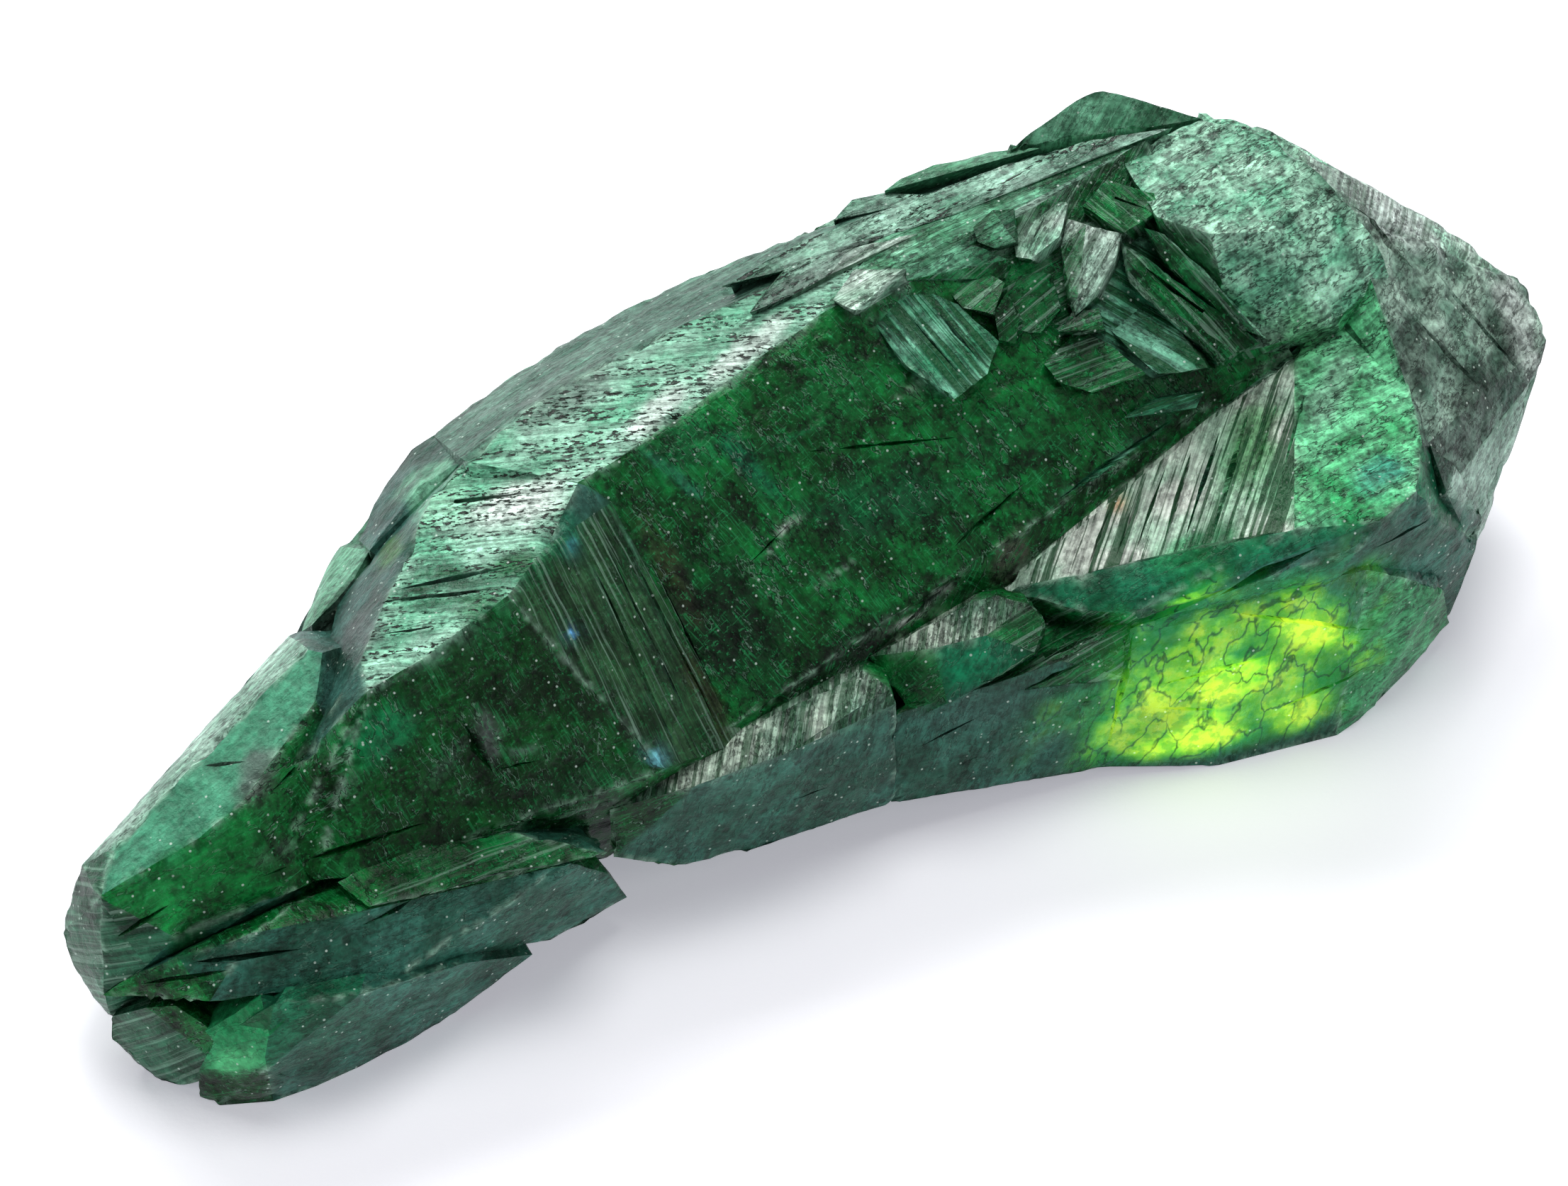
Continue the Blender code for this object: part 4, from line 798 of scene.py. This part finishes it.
    def colours(self) -> Array:
        """Returns each corner's colour, its borders torn and its edges pale, partly from wear and
        partly a painted highlight.
        """
        place = self.points[self.corner_point] / MM
        colour = self.patched(self.mottled(place))
        colour[:, :3] *= self.by_corner([group.tone for group in self.groups])[:, None]
        around = self.spread(colour, self.BORDER_ROUNDS)[self.corner_point]
        torn = ramp(rough_noise(place / self.TORN_WIDTH, octaves=3, seed=150), 0.38, 0.6)
        colour = overlay(colour, around, self.TORN_SHARE * torn[:, None])
        # Pale edges: wear, and a painted highlight where the edges catch the light.
        worn_highlight = np.exp(-((self.edge_gap / self.WORN_HIGHLIGHT_REACH) ** 2))[self.corner_point]
        worn_highlight_spots = ramp(rough_noise(place / self.WORN_HIGHLIGHT_WIDTH, octaves=3, seed=170), 0.45, 0.6)
        worn_highlight *= self.WORN_HIGHLIGHT_SHARE * worn_highlight_spots
        return overlay(colour, np.array(linear(self.WORN_HIGHLIGHT)), worn_highlight[:, None])

    def spread(self, corner_values: Array, rounds: int) -> Array:
        """Returns each point's values mixed with its neighbours' over some rounds."""
        values = np.stack([self.to_points(column) for column in corner_values.T], 1)
        ends = self.read(self.mesh.edges, "vertices", 2, len(self.mesh.edges), int)
        count = np.bincount(ends.ravel(), minlength=len(values))[:, None]
        for _ in range(rounds):
            total = np.zeros_like(values)
            np.add.at(total, ends[:, 0], values[ends[:, 1]])
            np.add.at(total, ends[:, 1], values[ends[:, 0]])
            values = (values + total / np.maximum(count, 1)) / 2
        return values

    def light(self) -> Array:
        """Returns how strongly each corner shows the foot's painted glow, from 0 to 1."""
        ragged = rough_noise(self.points / MM / self.LIT_GRAIN, octaves=4, seed=90)
        spots = DRAWING.seen(self.points)
        lit = np.max([oval.share(spots, ragged) for oval in PAINTED_GLOW_FOOT], axis=0)
        lit *= ramp(DRAWING.facing(self.points, self.normals), 0.0, 0.1)
        lit = self.spread(lit[self.corner_point][:, None], self.LIT_ROUNDS)[:, 0]
        return (lit * ramp(self.points[:, 2] / MM, *self.LIT_HEIGHT))[self.corner_point]

    def paint(self) -> None:
        """Stores on the corners what the material reads."""
        self.store_colour("tint", self.colours())
        for name, finishes in STORED.items():
            self.store_colour(name, np.stack([self.finish(finish) for finish in finishes], 1))
        self.store("growth", "FLOAT_VECTOR", "vector", self.growth())
        self.store("lit", "FLOAT", "value", self.light())
        self.mesh.attributes.remove(self.mesh.attributes["group"])

    def store_colour(self, name: str, values: Array) -> None:
        """Stores four values for each corner under a name."""
        layer = self.mesh.color_attributes.new(name, "FLOAT_COLOR", "CORNER")
        layer.data.foreach_set("color", values.astype(np.float32).ravel())

    def store(self, name: str, kind: str, key: str, values: Array) -> None:
        """Stores a value or row of three for each corner under a name."""
        layer = self.mesh.attributes.new(name, kind, "CORNER")
        layer.data.foreach_set(key, values.astype(np.float32).ravel())


class Shader:
    """The node tree of a material or a world, and short ways to add to it."""

    NOISE_ROUGHNESS = 0.62
    LINE_RIM = (0.011, 0.003)
    DOT_RIM = (0.25, 0.12)
    DOT_EASE = 0.03

    def __init__(self, owner: bpy.types.ID) -> None:
        """Empties the owner's node tree."""
        owner.use_nodes = True
        self.tree = owner.node_tree
        self.tree.nodes.clear()

    def node(self, kind: str, settings: dict | None = None, **links: object) -> bpy.types.Node:
        """Adds a node.

        Args:
            kind: The node's type, without "ShaderNode".
            settings: Properties of the node.
            **links: Input names with spaces as underscores, or iN for the Nth input, each
                with a value or an output socket.
        """
        node = self.tree.nodes.new("ShaderNode" + kind)
        for name, value in (settings or {}).items():
            setattr(node, name, value)
        for name, value in links.items():
            number = name[1:]
            key = int(number) if name[0] == "i" and number.isdigit() else name.replace("_", " ")
            socket = node.inputs[key]
            if isinstance(value, Socket):
                self.tree.links.new(value, socket)
            else:
                socket.default_value = value
        return node

    def place(self) -> Socket:
        """Returns the place on the object, in metres."""
        return self.node("TexCoord").outputs["Object"]

    def stored(self, name: str, output: str) -> Socket:
        """Returns what the mesh stores under a name."""
        return self.node("Attribute", {"attribute_name": name}).outputs[output]

    def four(self, name: str) -> list[Socket]:
        """Returns the four values stored under a name."""
        source = self.node("Attribute", {"attribute_name": name})
        parts = self.node("SeparateColor", Color=source.outputs["Color"])
        return [*parts.outputs, source.outputs["Alpha"]]

    def times(self, value: Socket, by: object) -> Socket:
        """Returns a value times another."""
        return self.node("Math", {"operation": "MULTIPLY"}, i0=value, i1=by).outputs[0]

    def plus(self, value: Socket, more: object) -> Socket:
        """Returns a value plus another."""
        return self.node("Math", {"operation": "ADD"}, i0=value, i1=more).outputs[0]

    def stretched(self, vector: Socket, by: Triple) -> Socket:
        """Returns a vector with each of its parts multiplied."""
        return self.node("VectorMath", {"operation": "MULTIPLY"}, i0=vector, i1=by).outputs[0]

    def between(
        self, value: Socket, low: float, high: float, least: float, most: float
    ) -> Socket:
        """Returns a value carried from one range to another."""
        return self.node(
            "MapRange", Value=value, From_Min=low, From_Max=high, To_Min=least, To_Max=most
        ).outputs[0]

    def step(self, value: Socket, low: float, high: float) -> Socket:
        """Returns a value eased from 0 at low to 1 at high."""
        eased_range = {"interpolation_type": "SMOOTHSTEP"}
        return self.node(
            "MapRange", eased_range, Value=value, From_Min=low, From_Max=high
        ).outputs[0]

    def blend(self, under: object, over: object, share: object) -> Socket:
        """Returns one colour laid over another."""
        return self.node("Mix", {"data_type": "RGBA"}, i0=share, i6=under, i7=over).outputs[2]

    def noise(self, vector: Socket, scale: Triple, detail: float) -> Socket:
        """Returns many-layered noise on a stretched vector."""
        place = self.stretched(vector, scale)
        return self.node(
            "TexNoise", Vector=place, Scale=1.0, Detail=detail, Roughness=self.NOISE_ROUGHNESS
        ).outputs[0]

    def even_noise(self, place: Socket, scale: float, detail: float) -> Socket:
        """Returns many-layered noise with no direction."""
        return self.noise(place, (scale, scale, scale), detail)

    def contour(self, value: Socket, level: float) -> Socket:
        """Returns thin wandering lines, 1 where a value is at a level."""
        gap = self.node("Math", {"operation": "ABSOLUTE"}, i0=self.plus(value, -level))
        return self.step(gap.outputs[0], *self.LINE_RIM)

    def dots(self, place: Socket, scale: float, share: float) -> Socket:
        """Returns small scattered dots, 1 in a dot, in a share of the cells."""
        cells = self.node("TexVoronoi", Vector=place, Scale=scale)
        few = self.node("SeparateColor", Color=cells.outputs["Color"]).outputs[0]
        dot = self.step(cells.outputs["Distance"], *self.DOT_RIM)
        return self.times(dot, self.step(few, 1 - share, 1 + self.DOT_EASE - share))


@dataclass(frozen=True)
class Mark:
    """What one kind of mark does to the stone: its colour, its strength and its height."""

    colour: str
    strength: float
    height: float = 0.0


# Noise that follows the growth lines: how fine it is along them, across them and from face
# to face, to a millimetre, and how many finer layers it has.
LINE_NOISE = {
    "ribs": ((0.07, 4.0, 1.0), 4.0), "stripes": ((0.06, 2.4, 1.0), 3.0),
    "lines": ((0.09, 3.6, 1.0), 3.0), "flecks": ((2.6, 6.0, 1.0), 3.0),
    "rows": ((0.2, 1.3, 1.0), 3.0), "scratches": ((0.7, 9.0, 1.0), 2.0),
    "crossing": ((9.0, 0.9, 1.0), 2.0), "folds": ((0.32, 0.85, 1.0), 4.0),
}

# Noise with no direction: how fine it is to a metre, and how many finer layers it has.
EVEN_NOISE = {
    "specks": (5200.0, 2.0), "grit": (2600.0, 3.0), "cloud": (750.0, 4.0), "ledges": (330.0, 3.0),
}

# Where noise is cut to make marks: none below the first value, full above the second.
CUTS = {
    "cloud": (0.44, 0.56), "stripes": (0.5, 0.56), "lines": (0.52, 0.62), "rows": (0.42, 0.58),
    "flecks": (0.51, 0.57), "scratches": (0.55, 0.62), "crossing": (0.6, 0.66),
    "specks": (0.6, 0.66),
}

# The marks, each laid over those before it.
MARKS = {
    "speckle": Mark("#2FA862", 0.45, 0.03),
    "line": Mark("#9CC4AE", 0.4, 0.04),
    "stripe": Mark("#0A5028", 0.9, -0.05),
    "rim": Mark("#9CC4AE", 0.38, 0.04),
    "fleck": Mark("#04190C", 0.9, -0.04),
    "crack": Mark("#04190C", 0.8, -0.06),
    "pit": Mark("#04190C", 0.7, -0.05),
    "dust": Mark("#D3E8DB", 0.75),
}


@dataclass(frozen=True)
class RoughBeryl:
    """Raw emerald: beryl coloured by chromium, its faces as grown and as broken.

    The stone itself is deep green and takes light in, so its plain faces look dark.
    Growth lines, etch pits and fine breaks throw the light back as silver and mint; on the pale faces
    this reflection is also painted into the colour as painted sheen.
    Where the foot is thin, the light that comes through it yellow-green between dark cracks is
    painted on as a glow emitted by the surface.
    """

    name: str = "raw_emerald"
    ior: float = 1.58
    specular: float = 0.15
    pit_scale: float = 900.0
    pit_share: float = 0.42
    dust_scale: float = 3200.0
    dust_share: float = 0.14
    between_rows: float = 0.25
    crack_level: float = 0.5
    rim_level: float = 0.514
    ledge_count: float = 16.0
    rib_height: float = 0.08
    grit_height: float = 0.09
    cloud_height: float = 0.16
    ledge_height: float = 0.05
    lit_stone: str = "#0C4A1C"
    glow_strength: float = 1.25
    glow_clear: str = "#D2FF3C"
    glow_half: str = "#8CEE2E"
    glow_deep: str = "#22A03A"
    glow_vein: str = "#3AA826"
    glow_crack: str = "#07240A"
    unlit: str = "#000000"
    glow_cloud: tuple[float, float] = (380.0, 4.0)
    glow_grit: tuple[float, float] = (1400.0, 3.0)
    net_stretch: Triple = (0.6 * MM, 1.1 * MM, MM)
    net_scale: float = 560.0
    net_bend: float = 420.0
    net_reach: float = 0.0035
    net_width: float = 0.05

    def build(self) -> bpy.types.Material:
        """Builds the material."""
        material = bpy.data.materials.new(self.name)
        shader = Shader(material)
        place = shader.place()
        line = shader.stored("growth", "Vector")
        lit = shader.stored("lit", "Fac")
        has: Sockets = {}
        for name, finishes in STORED.items():
            has |= dict(zip(finishes, shader.four(name)))
        noise = {name: shader.noise(line, *how) for name, how in LINE_NOISE.items()}
        noise |= {name: shader.even_noise(place, *how) for name, how in EVEN_NOISE.items()}
        masks = self.masks(shader, place, has, noise)
        colour = self.shaded(shader, has, noise)
        # Under the foot's painted glow the stone's colour turns dark green.
        colour = shader.blend(colour, linear(self.lit_stone), shader.times(lit, 0.8))
        for name, mark in MARKS.items():
            share = shader.times(masks[name], mark.strength)
            colour = shader.blend(colour, linear(mark.colour), share)
        glow = self.painted_glow(shader, place, line, lit)
        # The emission is the foot's painted glow, standing for light let through.
        stone = shader.node(
            "BsdfPrincipled", Base_Color=colour, Roughness=has["roughness"],
            Normal=self.relief(shader, has, noise, masks), IOR=self.ior,
            Specular_IOR_Level=self.specular,
            Emission_Color=shader.blend(linear(self.unlit), glow, lit),
            Emission_Strength=self.glow_strength,
        )
        shader.node("OutputMaterial", Surface=stone.outputs[0])
        return material

    def masks(self, shader: Shader, place: Socket, has: Sockets, noise: Sockets) -> Sockets:
        """Returns how fully each kind of mark covers the stone."""
        times, plus = shader.times, shader.plus
        cut = {name: shader.step(noise[name], *ends) for name, ends in CUTS.items()}
        scratches = plus(*(times(cut[name], cut["cloud"]) for name in ("scratches", "crossing")))
        flecks = times(cut["flecks"], plus(cut["rows"], self.between_rows))
        cracks, rims = (
            times(shader.contour(noise["folds"], level), has["crack"])
            for level in (self.crack_level, self.rim_level)
        )
        return {
            "speckle": times(plus(cut["specks"], scratches), has["speckle"]),
            "line": times(cut["lines"], has["line"]),
            "stripe": times(cut["stripes"], has["stripe"]),
            "rim": times(rims, cut["cloud"]),
            "fleck": times(flecks, has["fleck"]),
            "crack": cracks,
            "pit": times(shader.dots(place, self.pit_scale, self.pit_share), has["pit"]),
            "dust": shader.dots(place, self.dust_scale, self.dust_share),
        }

    def shaded(self, shader: Shader, has: Sockets, noise: Sockets) -> Socket:
        """Returns the stored tint with uneven light and dark in it."""
        times, plus = shader.times, shader.plus
        cloudy = shader.between(noise["cloud"], 0.38, 0.62, -0.35, 0.35)
        gritty = shader.between(noise["grit"], 0.38, 0.62, -0.5, 0.5)
        uneven = shader.between(has["crack"], 0.0, 1.0, 0.35, 1.0)
        shade = plus(times(plus(cloudy, gritty), uneven), 1.0)
        ribbed = shader.between(noise["ribs"], 0.4, 0.6, -0.5, 0.35)
        shade = times(shade, plus(times(ribbed, has["rib"]), 1.0))
        tint = shader.stored("tint", "Color")
        return shader.node("VectorMath", {"operation": "SCALE"}, i0=tint, Scale=shade).outputs[0]

    def relief(self, shader: Shader, has: Sockets, noise: Sockets, masks: Sockets) -> Socket:
        """Returns the normal over the fine relief: ribs, grit, ledges and the marks."""
        times, plus = shader.times, shader.plus
        count = times(noise["ledges"], self.ledge_count)
        ledges = shader.node("Math", {"operation": "FLOOR"}, i0=count).outputs[0]
        height = times(noise["ribs"], times(has["rib"], self.rib_height))
        height = plus(height, times(noise["grit"], self.grit_height))
        height = plus(height, times(noise["cloud"], self.cloud_height))
        height = plus(height, times(ledges, self.ledge_height))
        for name, mark in MARKS.items():
            if mark.height:
                height = plus(height, times(masks[name], mark.height))
        bump = shader.node("Bump", Height=times(height, MM), Strength=0.9, Distance=1.0)
        return bump.outputs["Normal"]

    def painted_glow(self, shader: Shader, place: Socket, line: Socket, lit: Socket) -> Socket:
        """Returns the colour of the painted glow that stands for the light the foot lets through
        between its cracks.
        """
        cloud = shader.even_noise(place, *self.glow_cloud)
        cloud = shader.plus(cloud, shader.times(lit, 0.3))
        half = shader.step(cloud, 0.5, 0.72)
        colour = shader.blend(linear(self.glow_deep), linear(self.glow_half), half)
        clear = shader.step(cloud, 0.64, 0.84)
        colour = shader.blend(colour, linear(self.glow_clear), clear)
        veins = shader.step(shader.even_noise(place, *self.glow_grit), 0.55, 0.43)
        colour = shader.blend(colour, linear(self.glow_vein), shader.times(veins, 0.5))
        cracks = shader.times(self.net(shader, line), shader.step(cloud, 0.9, 0.7))
        return shader.blend(colour, linear(self.glow_crack), shader.times(cracks, 0.8))

    def net(self, shader: Shader, line: Socket) -> Socket:
        """Returns the foot's net of thin wandering cracks, 1 in a crack."""
        cells = shader.stretched(line, self.net_stretch)
        bend = shader.node("TexNoise", Vector=cells, Scale=self.net_bend, Detail=4.0)
        bend = shader.stretched(bend.outputs["Color"], (self.net_reach,) * 3)
        moved = shader.node("VectorMath", {"operation": "ADD"}, i0=cells, i1=bend).outputs[0]
        to_edge = {"feature": "DISTANCE_TO_EDGE"}
        net = shader.node("TexVoronoi", to_edge, Vector=moved, Scale=self.net_scale)
        return shader.step(net.outputs["Distance"], self.net_width, 0.0)


@dataclass(frozen=True)
class Paper:
    """White drawing paper: matte pressed pulp with a faint tooth, lit a little from beneath."""

    name: str = "white_paper"
    white: str = "#F4F4F6"
    glow: str = "#F3F2FF"
    glow_strength: float = 0.36
    tooth_mm: float = 0.5
    tooth_height_mm: float = 0.06
    half_width: float = 1.5

    def build(self) -> bpy.types.Object:
        """Builds the sheet that the crystal lies on."""
        sheet = bmesh.new()
        bmesh.ops.create_grid(sheet, x_segments=1, y_segments=1, size=self.half_width)
        mesh = bpy.data.meshes.new(self.name)
        sheet.to_mesh(mesh)
        sheet.free()
        mesh.materials.append(self.finish())
        return linked(self.name, mesh)

    def finish(self) -> bpy.types.Material:
        """Builds the paper's own finish."""
        material = bpy.data.materials.new(self.name)
        shader = Shader(material)
        tooth = shader.node(
            "TexNoise", Vector=shader.place(), Scale=1.0 / (self.tooth_mm * MM), Detail=3.0
        ).outputs[0]
        bump = shader.node(
            "Bump", Height=tooth, Strength=0.25, Distance=self.tooth_height_mm * MM
        ).outputs["Normal"]
        matte = shader.node(
            "BsdfPrincipled", Base_Color=linear(self.white), Roughness=0.9,
            Specular_IOR_Level=0.2, Normal=bump, Emission_Color=linear(self.glow),
            Emission_Strength=self.glow_strength,
        )
        shader.node("OutputMaterial", Surface=matte.outputs[0])
        return material


@dataclass(frozen=True)
class Softbox:
    """One soft white light: where it stands over the table, its size, power and aim."""

    name: str
    place_mm: Triple
    size_mm: tuple[float, float]
    watts: float
    aim_mm: Triple = (0.0, 0.0, 10.0)

    def build(self) -> None:
        """Hangs the light, aimed at the crystal."""
        data = bpy.data.lights.new(self.name, "AREA")
        data.shape = "RECTANGLE"
        data.size, data.size_y = (side * MM for side in self.size_mm)
        data.energy = self.watts
        place = DRAWING.to_part() @ Vector(self.place_mm)
        aim = DRAWING.to_part() @ Vector(self.aim_mm)
        turn = (aim - place).to_track_quat("-Z", "Y").to_matrix().to_4x4()
        linked(self.name, data).matrix_world = Matrix.Translation(place) @ turn


@dataclass(frozen=True)
class Studio:
    """The lights, the pale air round them and the camera."""

    softboxes: tuple[Softbox, ...] = (
        Softbox("window_light", (-120.0, 420.0, 430.0), (620.0, 240.0), 3.6),
        Softbox("overhead_light", (60.0, 120.0, 900.0), (420.0, 420.0), 3.4),
        Softbox("left_fill", (-500.0, -200.0, 300.0), (260.0, 260.0), 0.6),
        Softbox("right_fill", (460.0, -260.0, 360.0), (260.0, 260.0), 0.5),
    )
    air: str = "#F2F3F6"
    air_strength: float = 0.1
    backdrop_strength: float = 0.95
    sensor: float = 36.0
    view_width_mm: float = 73.733
    clip: tuple[float, float] = (0.01, 10.0)

    def lights(self) -> None:
        """Hangs the softboxes and sets the pale air."""
        for softbox in self.softboxes:
            softbox.build()
        world = bpy.data.worlds.new("studio_air")
        shader = Shader(world)
        seen = shader.node("LightPath").outputs["Is Camera Ray"]
        air, backdrop = (
            shader.node("Background", Color=linear(self.air), Strength=strength).outputs[0]
            for strength in (self.air_strength, self.backdrop_strength)
        )
        shown = shader.node("MixShader", i0=seen, i1=air, i2=backdrop)
        shader.node("OutputWorld", Surface=shown.outputs[0])
        bpy.context.scene.world = world

    def camera(self) -> None:
        """Sets the camera at the drawing's eye."""
        data = bpy.data.cameras.new("table_camera")
        data.sensor_width = self.sensor
        data.lens = self.sensor * DRAWING.eye_mm / self.view_width_mm
        data.clip_start, data.clip_end = self.clip
        camera = linked(data.name, data)
        axes = Matrix((DRAWING.rightward(), DRAWING.upward(), -DRAWING.ahead())).transposed()
        camera.matrix_world = Matrix.Translation(DRAWING.eye()) @ axes.to_4x4()
        bpy.context.scene.camera = camera
        bpy.context.scene.view_settings.view_transform = "Standard"


def main() -> None:
    """Builds the paper, the crystal, the lights and the camera."""
    logging.basicConfig(level=logging.INFO, format="%(message)s")
    studio = Studio()
    studio.camera()
    studio.lights()
    Paper().build()
    skin = CrystalSkin().build()
    skin.data.materials.append(RoughBeryl().build())
    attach(skin, "root")
    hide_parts("emerald_crystal")
    LOG.info("%s: %d triangles", skin.name, len(skin.data.polygons))


if __name__ == "__main__":
    main()
